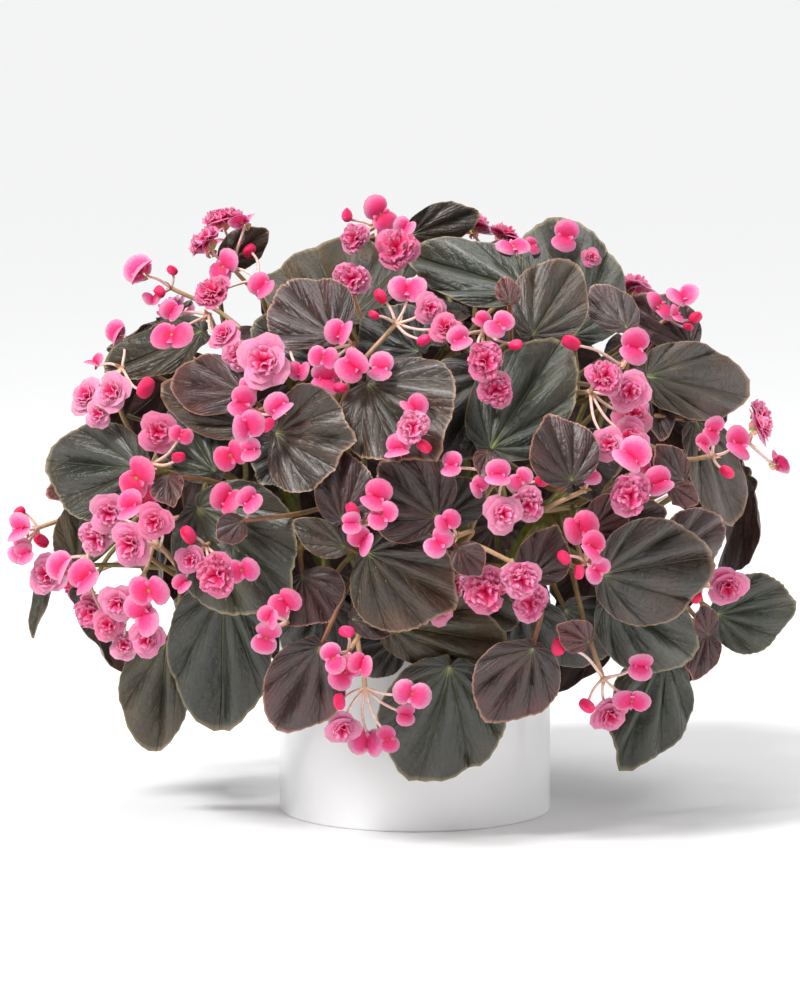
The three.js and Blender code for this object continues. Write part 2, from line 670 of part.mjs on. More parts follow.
// The clearest of many bends, from the nearest joints on the shoots
function bestPath(shoots, to, { behind, bendTo, radius, steps, own, joints }, obstacles) {
  const nearby = [];
  for (const shoot of shoots)
    for (const point of refine(shoot.line, 7).slice(2)) {
      const crowd = obstacles.joints.filter((q) => q.distanceTo(point) < JOINT_ROOM).length;
      const wrongSide = Math.max(0, point.clone().sub(to).dot(behind));
      nearby.push({ point, shoot, cost: point.distanceTo(to) + 0.5 * wrongSide + 40 * crowd });
    }
  nearby.sort((a, b) => a.cost - b.cost);
  const chosen = [];
  for (const joint of nearby)
    if (chosen.length < joints && chosen.every((c) => c.point.distanceTo(joint.point) > JOINT_SPACING))
      chosen.push(joint);
  let best = null;
  for (const joint of chosen) {
    const chord = to.clone().sub(joint.point).normalize();
    const sideways = chord.clone().cross(new THREE.Vector3(0.31, 0.17, 0.93)).normalize();
    const bend = bendTo(joint.point);
    for (const size of [0, 8, 16, 26, 38, 52])
      for (let i = 0; i < (size ? 12 : 1); i++) {
        const shift = sideways.clone().applyAxisAngle(chord, (i * Math.PI) / 6 + size);
        const line = bezier(joint.point, along(bend, shift, size), to, steps);
        const cost = 0.02 * (joint.cost + size);
        const points = refine(line, Math.ceil(20 / steps)).filter((p) => p.distanceTo(joint.point) > 7);
        const count = crossings(points, radius, obstacles, own);
        const total = count + cost;
        if (!best || total < best.total) best = { total, count, line, shoot: joint.shoot };
        if (count === 0) return best;
      }
  }
  return best;
}
function keepPath({ line }, radius, obstacles) {
  obstacles.joints.push(line[0]);
  obstacles.stalks.push({ line: refine(line, 6), radius });
}
function refine(line, pieces) {
  const points = [];
  for (let i = 0; i + 1 < line.length; i++)
    for (let j = 0; j < pieces; j++) points.push(line[i].clone().lerp(line[i + 1], j / pieces));
  return [...points, line[line.length - 1]];
}

// The whole plant's layout: stems with their leaves and petioles, and sprays with their peduncles
function petioleOf(leaf, shoots, obstacles) {
  const back = (from, share) => -share * leaf.base.distanceTo(from);
  const bendTo = (from) =>
    along(along(leaf.base, leaf.midrib, back(from, 0.25)), leaf.upper, back(from, 0.35));
  return bestPath(shoots, leaf.base, { behind: leaf.upper, bendTo, ...PETIOLE, own: leaf }, obstacles);
}
function attachLeaf(leaf, path, obstacles) {
  keepPath(path, PETIOLE.radius, obstacles);
  leaf.petiole = path.line;
  path.shoot.stem.leaves.push(leaf);
}
function attachSpray(spray, shoots, obstacles) {
  const { hub, flowers } = spray;
  spray.heading = new THREE.Vector3();
  for (const { centre } of flowers) spray.heading.add(centre.clone().sub(hub).normalize());
  spray.heading.normalize();
  const bendTo = (from) => along(hub, spray.heading, -0.45 * from.distanceTo(hub));
  const search = { behind: domeNormal(hub), bendTo, ...PEDUNCLE, own: spray };
  const path = bestPath(shoots, hub, search, obstacles);
  keepPath(path, PEDUNCLE.radius, obstacles);
  spray.peduncle = path.line;
  for (const { centre } of flowers)
    obstacles.stalks.push({ line: refine([hub, centre], 12), radius: PEDICEL.radius });
}

// A hidden leaf goes where its blade and its petiole are clear of everything, or slides inwards until they are
const TONES = ["bronze", "green", "bronze", "purple", "olive", "bronze", "green"];
function addHiddenLeaves({ rule, lowest, room, insets, smallest, largest }, inFront, shoots, obstacles) {
  for (let i = 0; i < rule; i++) {
    const direction = spiral(i, rule, lowest);
    if (direction.y < FRONT_EDGE !== inFront) continue;
    const outwards = domeNormal(domeTowards(direction, 0));
    const downhill = UP.clone().negate().addScaledVector(outwards, outwards.z).normalize();
    downhill.applyAxisAngle(outwards, random(-0.7, 0.7) * (1 + 2 * Math.max(0, direction.z)));
    const width = random(smallest, largest);
    const look = { tone: inFront ? "dark" : TONES[i % TONES.length], hidden: true };
    const place = { direction, outwards, downhill, room, inset: insets[i % 2], form: leafForm(), look };
    for (const size of [width, 0.78 * width]) if (addLeafAt(place, size, shoots, obstacles)) break;
  }
}
function addLeafAt({ direction, outwards, downhill, room, form, look, ...place }, width, shoots, obstacles) {
  for (let { inset } = place; inset < DEEPEST; inset += 2 * SLIDE) {
    const middle = domeTowards(direction, inset);
    const base = along(along(middle, downhill, -0.46 * width), outwards, -4);
    const tip = along(along(middle, downhill, 0.54 * width), outwards, 3);
    const face = outwards.clone().addScaledVector(UP, 0.25);
    const leaf = { ...leafOn(base, tip, face, width * 0.94, 0, form), ...look };
    const isFree = (o) => isApart(leaf, o) && centreOf(leaf).distanceTo(centreOf(o)) > room;
    if (!clearOfPot(leaf) || !obstacles.leaves.every(isFree)) continue;
    if (!obstacles.sprays.every((spray) => spray.flowers.every((f) => isFlowerOff(leaf, f)))) continue;
    if (obstacles.stalks.some(({ line, radius }) => crossesBlade(line, radius, leaf))) continue;
    const path = petioleOf(leaf, shoots, obstacles);
    if (path.count) continue;
    attachLeaf(leaf, path, obstacles);
    obstacles.leaves.push(leaf);
    return true;
  }
  return false;
}
function growPlant() {
  const leaves = seenLeaves();
  const sprays = backSprays(leaves, seenSprays(leaves));
  const stems = makeStems();
  const obstacles = { leaves, sprays, stalks: [], joints: [] };
  const shoots = stems.flatMap((stem) => stem.shoots.map((line) => ({ stem, line })));
  for (const { line } of stems) obstacles.stalks.push({ line: refine(line, 6), radius: STEM.baseRadius });
  for (const { line } of shoots) obstacles.stalks.push({ line: refine(line, 5), radius: STEM.forkRadius });
  for (const spray of sprays) attachSpray(spray, shoots, obstacles);
  for (const leaf of [...leaves]) attachLeaf(leaf, petioleOf(leaf, shoots, obstacles), obstacles);
  addHiddenLeaves(BACK_LEAVES, false, shoots, obstacles);
  addHiddenLeaves(INNER_LEAVES, true, shoots, obstacles);
  return { stems, sprays };
}

// Solids, from closed meshes
function solid(points, triangles) {
  const geometry = new THREE.BufferGeometry().setFromPoints(points).setIndex(triangles);
  const merged = mergeVertices(geometry, 1e-4);
  const triVerts = new Uint32Array(merged.index.array);
  const made = new wasm.Manifold(
    new wasm.Mesh({ numProp: 3, vertProperties: merged.attributes.position.array, triVerts }),
  );
  return made.volume() < 0 ? solid(points, triangles.toReversed()) : made;
}

// Points round a place on a stalk; the reference decides where the first one lies, so that stalks don't twist
function ringRound(point, heading, reference, radius, sides) {
  const first = reference.clone().addScaledVector(heading, -reference.dot(heading)).normalize();
  const second = heading.clone().cross(first);
  return Array.from({ length: sides }, (_, k) => {
    const angle = (2 * Math.PI * k) / sides;
    return along(along(point, first, radius * Math.cos(angle)), second, radius * Math.sin(angle));
  });
}
function headingAt(line, i) {
  const before = line[Math.max(0, i - 1)];
  const after = line[Math.min(line.length - 1, i + 1)];
  return after.clone().sub(before).normalize();
}

// Triangles between two rings that may differ in how many points they have
function stitch(startA, countA, startB, countB) {
  const triangles = [];
  let a = 0;
  let b = 0;
  while (a < countA || b < countB) {
    const pa = startA + (a % countA);
    const pb = startB + (b % countB);
    if (b === countB || (a < countA && (a + 1) / countA <= (b + 1) / countB)) {
      triangles.push(pa, startA + ((a + 1) % countA), pb);
      a += 1;
    } else {
      triangles.push(pa, startB + ((b + 1) % countB), pb);
      b += 1;
    }
  }
  return triangles;
}

// A closed surface over a row of rings, with a flat end at each end
function ringSurface(rings) {
  const points = rings.flat();
  const starts = rings.map((_, i) => rings.slice(0, i).flat().length);
  const triangles = [];
  for (let i = 2; i < rings[0].length; i++) triangles.push(0, i, i - 1);
  for (let i = 0; i + 1 < rings.length; i++)
    triangles.push(...stitch(starts[i], rings[i].length, starts[i + 1], rings[i + 1].length));
  const end = starts[rings.length - 1];
  const count = rings[rings.length - 1].length;
  for (let i = 2; i < count; i++) triangles.push(end, end + i - 1, end + i);
  return solid(points, triangles);
}
function stalk(line, startRadius, endRadius, sides, grow = 0) {
  const reference = new THREE.Vector3(0.62, 0.78, 0.11);
  const rings = line.map((point, i) => {
    const radius = startRadius + ((endRadius - startRadius) * i) / (line.length - 1) + grow;
    return ringRound(point, headingAt(line, i), reference, radius, sides);
  });
  return ringSurface(rings);
}

// A leaf: a three-cornered petiole opens into a fan from the base to a waved rim, split alike on both faces
function leafSolid(leaf, grow = 0) {
  const seenPoints = leaf.width < RIM_POINTS.smallWidth ? RIM_POINTS.small : RIM_POINTS.large;
  const count = leaf.hidden ? RIM_POINTS.hidden : seenPoints;
  const half = BLADE.thick / 2 + grow;
  const radius = PETIOLE.radius + grow;
  const line = leaf.petiole;
  const stalkRings = line.slice(0, -1).map((point, i) => {
    const heading = headingAt(line, i);
    const left = leaf.across.clone().addScaledVector(heading, -leaf.across.dot(heading)).normalize();
    const upwards = heading.clone().cross(left);
    return [
      along(along(point, left, radius), upwards, 0.6 * radius),
      along(along(point, left, -radius), upwards, 0.6 * radius),
      along(point, upwards, -radius),
    ];
  });
  const neck = [
    along(along(leaf.base, leaf.across, radius), leaf.upper, half),
    along(along(leaf.base, leaf.across, -radius), leaf.upper, half),
    along(leaf.base, leaf.upper, -radius),
  ];
  const rim = Array.from({ length: count }, (_, i) => {
    const angle = rad(-BLADE.spread + (2 * BLADE.spread * i) / (count - 1));
    return { angle, share: 1 + (2 * grow) / leaf.width + 0.03 * (i % 2 ? 1 : -1) };
  });
  const points = [...stalkRings.flat(), ...neck];
  const triangles = [0, 2, 1];
  for (let i = 0; i < stalkRings.length; i++) triangles.push(...stitch(3 * i, 3, 3 * i + 3, 3));
  const left = 3 * stalkRings.length;
  const [right, below] = [left + 1, left + 2];
  const upperAt = points.length;
  const lowerAt = upperAt + count;
  points.push(...rim.map(({ angle, share }) => bladePoint(leaf, angle, share, half)));
  points.push(...rim.map(({ angle, share }) => bladePoint(leaf, angle, share, -half)));
  const middle = (count - 1) / 2;
  for (let i = 0; i + 1 < count; i++) {
    const [u, l] = [upperAt + i, lowerAt + i];
    triangles.push(i < middle ? right : left, u, u + 1);
    triangles.push(below, l + 1, l);
    triangles.push(u, l, l + 1, u, l + 1, u + 1);
  }
  triangles.push(left, right, upperAt + middle);
  triangles.push(right, below, lowerAt, right, lowerAt, upperAt);
  triangles.push(left, upperAt + count - 1, lowerAt + count - 1, left, lowerAt + count - 1, below);
  return solid(points, triangles);
}

// Petals in rings: each ring has its reach at every column and its height, as shares of the radius
const FOUR = (wide, notch, narrow) => [wide, notch, narrow, notch, wide, notch, narrow, notch];
const PROFILES = {
  double: {
    rings: [
      { reach: FOUR(1, 0.86, 1), height: 0.14, ruffle: 0.1 },
      { reach: FOUR(0.6, 0.66, 0.6), height: 0.2, ruffle: 0 },
      { reach: [0.58, 0.66, 0.58, 0.66], height: 0.56, ruffle: -0.08 },
    ],
    front: 0.42,
  },
  single: { rings: [{ reach: FOUR(1, 0.86, 0.56), height: 0.24, ruffle: 0.08 }], front: 0.02 },
  bud: { rings: [{ reach: [0.9, 0.7, 0.9, 0.7], height: 0.1, ruffle: 0 }], front: 0.8 },
};
function petalRings(flower, grow) {
  const { rings, front } = PROFILES[flower.kind];
  const size = flower.radius + grow;
  const sideways = flower.facing.clone().cross(UP).normalize();
  sideways.applyAxisAngle(flower.facing, flower.turn);
  const upwards = flower.facing.clone().cross(sideways);
  const place = (x, y, z) =>
    flower.centre
      .clone()
      .addScaledVector(sideways, x * size)
      .addScaledVector(upwards, y * size)
      .addScaledVector(flower.facing, z * size);
  const petals = rings.map(({ reach, height, ruffle }) =>
    reach.map((r, i) => {
      const angle = (2 * Math.PI * i) / reach.length;
      return place(r * Math.cos(angle), r * Math.sin(angle), height + (i % 2 ? -ruffle : ruffle));
    }),
  );
  return { petals, back: place(0, 0, flower.kind === "bud" ? -0.6 : -0.28), front: place(0, 0, front) };
}

// A spray: a peduncle with as many sides as it has flowers, ending in a low cone with a pedicel on each face
function sprayParts(spray, grow = 0) {
  const count = spray.flowers.length;
  const sides = count < 3 ? count + 2 : count;
  const { hub, heading, peduncle } = spray;
  const reference = heading.clone().cross(UP).normalize();
  const turned = (centre) => {
    const offset = centre.clone().sub(hub);
    return Math.atan2(offset.dot(heading.clone().cross(reference)), offset.dot(reference));
  };
  const flowers = [...spray.flowers].sort((a, b) => turned(a.centre) - turned(b.centre));
  const first = turned(flowers[0].centre) - (count > 1 ? Math.PI / sides : 0);
  const side = reference.clone().applyAxisAngle(heading, first);
  const rings = peduncle.map((point, i) => {
    const last = i === peduncle.length - 1;
    const radius = (last ? PEDUNCLE.hubRadius : PEDUNCLE.radius) + grow;
    return ringRound(point, last ? heading : headingAt(peduncle, i), side, radius, sides);
  });
  const points = rings.flat();
  const triangles = [];
  for (let i = 2; i < sides; i++) triangles.push(0, i, i - 1);
  for (let i = 0; i + 1 < rings.length; i++) triangles.push(...stitch(sides * i, sides, sides * (i + 1), sides));
  const tip = points.length - sides;
  let faces = [[tip, tip + 1, tip + 2]];
  if (count === 2) faces.push([tip, tip + 2, tip + 3]);
  if (count > 2) {
    faces = flowers.map((_, i) => [tip + i, tip + ((i + 1) % sides), points.length]);
    points.push(along(hub, heading, PEDUNCLE.hubRadius + grow));
  }
  flowers.forEach((flower, i) => addFlower(points, triangles, faces[i], petalRings(flower, grow), grow));
  return solid(points, triangles);
}

// A pedicel that grows from a triangle of the surface, and its flower, added to that surface
function addFlower(points, triangles, face, { petals, back, front }, grow) {
  const corners = face.map((i) => points[i]);
  const root = corners[0].clone().add(corners[1]).add(corners[2]).divideScalar(3);
  const heading = back.clone().sub(root).normalize();
  const ring = ringRound(back, heading, corners[0].clone().sub(root), PEDICEL.radius + grow, 3);
  const at = points.length;
  points.push(...ring);
  face.forEach((corner, i) => {
    const next = (i + 1) % 3;
    triangles.push(corner, face[next], at + next, corner, at + next, at + i);
  });
  const columns = petals[0].length;
  const toFirst = petals[0].map((p) => p.distanceTo(ring[0]));
  const shift = toFirst.indexOf(Math.min(...toFirst));
  const turned = petals.map((petal) => {
    const own = Math.round((shift * petal.length) / columns);
    return petal.map((_, i) => petal[(i + own) % petal.length]);
  });
  let start = at;
  let count = 3;
  for (const petal of turned) {
    triangles.push(...stitch(start, count, points.length, petal.length));
    start = points.length;
    count = petal.length;
    points.push(...petal);
  }
  points.push(front);
  for (let i = 0; i < count; i++) triangles.push(start + i, start + ((i + 1) % count), points.length - 1);
}

// Two boxes in space meet
function boxesMeet(a, b) {
  const one = a.boundingBox();
  const two = b.boundingBox();
  return [0, 1, 2].every((i) => one.min[i] <= two.max[i] && two.min[i] <= one.max[i]);
}

// Every piece of the plant, with a slightly larger copy that its neighbours keep out of
const plant = growPlant();
const pieces = [];
function addPiece(node, kind, make, stalkLine = null) {
  const stalkRoom = stalkLine && stalk(stalkLine, STALK_ROOM, STALK_ROOM, 4);
  pieces.push({ node, kind, shape: make(0), room: make(GAP), stalkRoom });
}
plant.stems.forEach((stem, i) => {
  const node = "leafy_stem_" + (i + 1);
  addPiece(node, "stalk", (g) => stalk(stem.line, STEM.baseRadius, STEM.forkRadius, STEM.sides, g));
  for (const shoot of stem.shoots)
    addPiece(node, "stalk", (g) => stalk(shoot, STEM.forkRadius, SHOOT.tipRadius, SHOOT.sides, g));
  for (const leaf of stem.leaves) addPiece(node, "blade", (g) => leafSolid(leaf, g), leaf.petiole);
});

// A peduncle starts just outside the shoot that carries it
const stalkRooms = pieces.filter(({ kind }) => kind === "stalk").map(({ room }) => room);
function seatPeduncle({ peduncle }) {
  const [start, next] = peduncle;
  const heading = next.clone().sub(start).normalize();
  const meetsShoot = () => {
    const stub = stalk([start, along(start, heading, 3)], PEDUNCLE.radius, PEDUNCLE.radius, 6);
    return stalkRooms.some((room) => boxesMeet(stub, room) && stub.intersect(room).volume() > 0);
  };
  while (meetsShoot() && start.distanceTo(next) > 4) start.addScaledVector(heading, SEAT_STEP);
}
plant.sprays.forEach((spray, i) => {
  seatPeduncle(spray);
  addPiece("flower_spray_" + (i + 1), "flower", (g) => sprayParts(spray, g), spray.peduncle);
});

// What crosses from another node: a stalk stays whole, and a blade or flower gives way to it
const RANK = { stalk: 0, flower: 1, blade: 2 };
const ordered = [...pieces].sort((a, b) => RANK[a.kind] - RANK[b.kind]);
function giveWay(piece, room) {
  if (!boxesMeet(piece.shape, room) || piece.shape.intersect(room).volume() < 0.005) return;
  piece.shape = piece.shape.subtract(room);
}
const meetings = [];
ordered.forEach((piece, i) => {
  for (const other of ordered.slice(0, i))
    if (other.node !== piece.node && boxesMeet(piece.shape, other.room)) meetings.push([piece, other]);
});
for (const [piece, other] of meetings) {
  if (other.kind === "stalk") giveWay(piece, other.room);
  if (other.stalkRoom) giveWay(piece, other.stalkRoom);
  if (piece.stalkRoom && other.kind !== "stalk") giveWay(other, piece.stalkRoom);
}
for (const [piece, other] of meetings)
  if (other.kind !== "stalk" && boxesMeet(piece.shape, other.shape)) giveWay(piece, other.room);

const largest = (shape) => shape.decompose().reduce((a, b) => (b.volume() > a.volume() ? b : a));
const nodeSolids = new Map();
for (const piece of pieces) {
  if (!piece.shape.numTri()) continue;
  const known = nodeSolids.get(piece.node);
  nodeSolids.set(piece.node, known ? known.add(piece.shape) : piece.shape);
}
for (const [node, shape] of nodeSolids) nodeSolids.set(node, largest(shape));

// The pot: a plain straight-sided wall with softened edges and drainage holes in its floor
function lathe(profile, sides) {
  const geometry = new THREE.LatheGeometry(profile.map(([r, z]) => new THREE.Vector2(r, z)), sides);
  geometry.rotateX(Math.PI / 2);
  geometry.deleteAttribute("normal");
  geometry.deleteAttribute("uv");
  const merged = mergeVertices(geometry, 1e-4);
  const index = Array.from(merged.index.array);
  const position = merged.attributes.position;
  const at = (_, i) => new THREE.Vector3().fromBufferAttribute(position, i);
  const points = Array.from({ length: position.count }, at);
  const proper = [];
  for (let i = 0; i < index.length; i += 3) {
    const [a, b, c] = index.slice(i, i + 3);
    if (a !== b && b !== c && a !== c) proper.push(a, b, c);
  }
  return solid(points, proper);
}
function makePot() {
  const { radius, height, wall, floor, edge, sides } = POT;
  const inner = radius - wall;
  const profile = [
    [0, 0], [radius - edge, 0], [radius, edge], [radius, height - edge], [radius - edge, height],
    [inner, height], [inner, floor], [0, floor],
  ];
  let pot = lathe(profile, sides);
  for (let i = 0; i < DRAIN.count; i++) {
    const angle = (2 * Math.PI * (i + 0.5)) / DRAIN.count;
    const at = new THREE.Vector3(DRAIN.fromAxis * Math.cos(angle), DRAIN.fromAxis * Math.sin(angle), -2);
    pot = pot.subtract(stalk([at, along(at, UP, floor + 4)], DRAIN.radius, DRAIN.radius, DRAIN.sides));
  }
  return pot;
}

// The soil: a low crown that fills the pot, with a hole for each stem
function makeSoil() {
  const outer = POT.radius - POT.wall - GAP - 0.05;
  const bottom = POT.floor + GAP;
  const profile = [[0, bottom], [outer, bottom], [outer, SOIL.top - 3]];
  for (let i = SOIL.rings; i >= 0; i--) {
    const share = i / (SOIL.rings + 1);
    profile.push([outer * share, SOIL.top + SOIL.crown * (1 - share ** 2)]);
  }
  let soil = lathe(profile, SOIL.sides);
  for (const piece of pieces)
    if (piece.kind === "stalk" && boxesMeet(piece.room, soil)) soil = soil.subtract(piece.room);
  return soil;
}

// Materials, and the group of named meshes
const MATERIALS = {
  pot: { color: 0xf1f1ef, roughness: 0.35, metalness: 0 },
  soil: { color: 0x2b211a, roughness: 0.95, metalness: 0 },
  leafy: { color: 0x3f3b2f, roughness: 0.45, metalness: 0 },
  flower: { color: 0xec5c9c, roughness: 0.6, metalness: 0 },
};
function addMesh(group, name, shape, look) {
  const { vertProperties, triVerts } = shape.getMesh();
  const geometry = new THREE.BufferGeometry();
  geometry.setAttribute("position", new THREE.BufferAttribute(new Float32Array(vertProperties), 3));
  geometry.setIndex(new THREE.BufferAttribute(new Uint32Array(triVerts), 1));
  geometry.computeVertexNormals();
  const mesh = new THREE.Mesh(geometry, new THREE.MeshStandardMaterial(MATERIALS[look]));
  mesh.name = name;
  group.add(mesh);
}

const begonia = new THREE.Group();
addMesh(begonia, "pot", makePot(), "pot");
addMesh(begonia, "soil", makeSoil(), "soil");
for (const [node, shape] of nodeSolids) addMesh(begonia, node, shape, node.split("_")[0]);

export default begonia;
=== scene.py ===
import json
import math

import bpy
import numpy as np
from mathutils import Matrix, Vector
from mathutils.bvhtree import BVHTree

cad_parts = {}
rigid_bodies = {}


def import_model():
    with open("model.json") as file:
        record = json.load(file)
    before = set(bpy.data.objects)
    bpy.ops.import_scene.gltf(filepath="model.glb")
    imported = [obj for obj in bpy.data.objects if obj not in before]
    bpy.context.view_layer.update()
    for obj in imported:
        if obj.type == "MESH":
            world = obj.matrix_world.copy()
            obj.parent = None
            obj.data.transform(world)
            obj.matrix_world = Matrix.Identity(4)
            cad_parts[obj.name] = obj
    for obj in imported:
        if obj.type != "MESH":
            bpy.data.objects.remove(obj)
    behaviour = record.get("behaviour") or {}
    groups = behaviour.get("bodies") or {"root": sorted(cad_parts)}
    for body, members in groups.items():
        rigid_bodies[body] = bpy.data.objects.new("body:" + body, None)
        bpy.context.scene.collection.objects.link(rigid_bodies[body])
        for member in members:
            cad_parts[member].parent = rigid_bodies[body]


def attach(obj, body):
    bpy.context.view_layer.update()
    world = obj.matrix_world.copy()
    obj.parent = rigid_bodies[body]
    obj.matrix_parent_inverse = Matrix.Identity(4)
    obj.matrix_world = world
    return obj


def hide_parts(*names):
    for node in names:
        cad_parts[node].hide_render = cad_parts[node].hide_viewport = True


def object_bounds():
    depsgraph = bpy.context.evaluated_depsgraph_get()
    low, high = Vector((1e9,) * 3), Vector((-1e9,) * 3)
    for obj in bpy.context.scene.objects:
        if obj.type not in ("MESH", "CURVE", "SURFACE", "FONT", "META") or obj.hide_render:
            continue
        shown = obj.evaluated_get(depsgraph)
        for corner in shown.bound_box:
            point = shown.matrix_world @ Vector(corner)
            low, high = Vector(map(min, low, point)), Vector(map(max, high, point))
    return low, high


# The frame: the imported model's pot, soil, nine leafy stems and forty-seven flower sprays, in metres. Its box
# is kept from before anything is added, and the pieces of this file stay inside it.
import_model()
cad_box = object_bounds()

# The view of the photograph: level with the middle of the foliage and a little above it, from three
# metres away. Places in its frame of 800 x 1000 are in pixels, and the plant's own sizes are in millimetres.
MM = 0.001
VIEW_DISTANCE = 3000
VIEW_TARGET = np.array([-8.8, 0, 183.5])
VIEW_RISE = math.radians(7)
FRAME_WIDE, FRAME_HIGH = 800, 1000
SENSOR_HIGH = 36
FARTHEST_SEEN = 60
POT_PIXELS, POT_RADIUS = 272, 80
PIXELS_PER_MM = POT_PIXELS / (2 * POT_RADIUS)
TO_VIEWER = np.array([0, -math.cos(VIEW_RISE), math.sin(VIEW_RISE)])
VIEW_UP = np.array([0, math.sin(VIEW_RISE), math.cos(VIEW_RISE)])
VIEW_PLACE = VIEW_TARGET + VIEW_DISTANCE * TO_VIEWER

camera_data = bpy.data.cameras.new("photograph_view")
camera_data.sensor_fit = "VERTICAL"
camera_data.sensor_height = SENSOR_HIGH
camera_data.lens = SENSOR_HIGH * VIEW_DISTANCE * PIXELS_PER_MM / FRAME_HIGH
camera_data.clip_end = FARTHEST_SEEN
camera = bpy.data.objects.new("photograph_view", camera_data)
camera.location = Vector(VIEW_PLACE * MM)
camera.rotation_euler = (math.pi / 2 - VIEW_RISE, 0, 0)
bpy.context.scene.collection.objects.link(camera)
bpy.context.scene.camera = camera

# The pot: one plain white straight-sided container with softened edges, moulded in one piece, glossy outside
# and in, with four drainage holes in its floor.
POT_HEIGHT, POT_WALL, POT_FLOOR = 125, 4, 6
POT_EDGE, POT_EDGE_STEPS = 1.5, 6
POT_SIDES = 160
POT_SHARP, SHARPEST_SMOOTH = math.radians(40), math.radians(65)
INNER_CORNER = ((0, 8), (2, 2), (8, 0))
DRAIN_HOLES, DRAIN_RADIUS, DRAIN_FROM_AXIS = 4, 6, 42
DRILL_SIDES, DRILL_OVERSHOOT = 32, 2


def mesh_of(name, points, faces):
    """A mesh from places in millimetres, smooth but for its sharp rims."""
    mesh = bpy.data.meshes.new(name)
    mesh.from_pydata(np.asarray(points, float) * MM, [], faces)
    mesh.shade_smooth()
    mesh.set_sharp_from_angle(angle=SHARPEST_SMOOTH)
    return mesh


def show(name, mesh, material=None):
    """Puts a mesh in the scene. Its object stays at the origin, because its place is in the mesh."""
    piece = bpy.data.objects.new(name, mesh)
    bpy.context.scene.collection.objects.link(piece)
    if material:
        mesh.materials.append(material)
    return piece


def finished(piece, nodes):
    """Fixes the piece to the pot's body and hides the solids that it stands for."""
    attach(piece, "root")
    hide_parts(*nodes)


def add_node(tree, kind, sockets=None, **settings):
    """A node with its settings made and its sockets filled by numbers or by other nodes' sockets."""
    made = tree.nodes.new(kind)
    for name, value in settings.items():
        setattr(made, name, value)
    for socket, value in (sockets or {}).items():
        if isinstance(value, bpy.types.NodeSocket):
            tree.links.new(value, made.inputs[socket])
        else:
            made.inputs[socket].default_value = value
    return made


def new_material(name, **numbers):
    """A material with one principled shader. Returns the material, its tree and the shader."""
    material = bpy.data.materials.new(name)
    material.use_nodes = True
    tree = material.node_tree
    shader = tree.nodes["Principled BSDF"]
    for socket, value in numbers.items():
        shader.inputs[socket.replace("_", " ")].default_value = value
    return material, tree, shader


def ramp(tree, factor, *stops):
    """A colour ramp over the factor, from stops of (place, colour)."""
    made = add_node(tree, "ShaderNodeValToRGB", {"Fac": factor})
    elements = made.color_ramp.elements
    while len(elements) < len(stops):
        elements.new(0.5)
    for element, (place, colour) in zip(elements, stops):
        element.position = place
        element.color = (*colour, 1)
    return made.outputs["Color"]


def feed(shader, socket, source):
    """Lets another node decide one of the shader's numbers or colours."""
    shader.id_data.links.new(source, shader.inputs[socket])


def maths(tree, operation, *values, clamp=False):
    """One sum over numbers or sockets."""
    made = add_node(tree, "ShaderNodeMath", dict(enumerate(values)), operation=operation, use_clamp=clamp)
    return made.outputs[0]


def mixed(tree, factor, first, second, blend="MIX"):
    """The first colour with a share of the second."""
    sockets = {0: factor, 6: first, 7: second}
    return add_node(tree, "ShaderNodeMix", sockets, data_type="RGBA", blend_type=blend).outputs[2]


def noise(tree, scale, detail=3.0, roughness=0.5):
    """Noise over the piece's own places; the scale is in waves a metre."""
    place = add_node(tree, "ShaderNodeTexCoord").outputs["Object"]
    sockets = {"Vector": place, "Scale": scale, "Detail": detail, "Roughness": roughness}
    return add_node(tree, "ShaderNodeTexNoise", sockets).outputs["Fac"]


def add_bump(tree, shader, height, distance, strength=1.0):
    """Raises the surface in the light by a distance in metres."""
    sockets = {"Height": height, "Distance": distance, "Strength": strength}
    bump = add_node(tree, "ShaderNodeBump", sockets)
    feed(shader, "Normal", bump.outputs["Normal"])


def rounded_corner(middle_r, middle_z, start):
    """A quarter turn of the pot's softened edge, from an angle on."""
    turns = [math.radians(start + 90 * i / POT_EDGE_STEPS) for i in range(POT_EDGE_STEPS + 1)]
    return [(middle_r + POT_EDGE * math.cos(t), middle_z + POT_EDGE * math.sin(t)) for t in turns]


def lathed(profile, sides):
    """A closed surface of revolution; the profile runs from the axis outwards, up and back to the axis."""
    turns = np.arange(sides) * 2 * math.pi / sides
    rings = np.array(profile[1:-1])
    around = np.stack([np.cos(turns), np.sin(turns)], axis=1)
    heights = np.repeat(rings[:, None, 1:], sides, axis=1)
    points = np.concatenate([rings[:, None, :1] * around, heights], axis=2)
    points = [*points.reshape(-1, 3), (0, 0, profile[0][1]), (0, 0, profile[-1][1])]
    faces = []
    low, high = len(points) - 2, len(points) - 1
    top = (len(rings) - 1) * sides
    for k in range(sides):
        n = (k + 1) % sides
        faces.append((low, n, k))
        for ring in range(0, top, sides):
            faces.append((ring + k, ring + n, ring + sides + n, ring + sides + k))
        faces.append((high, top + k, top + n))
    return points, faces


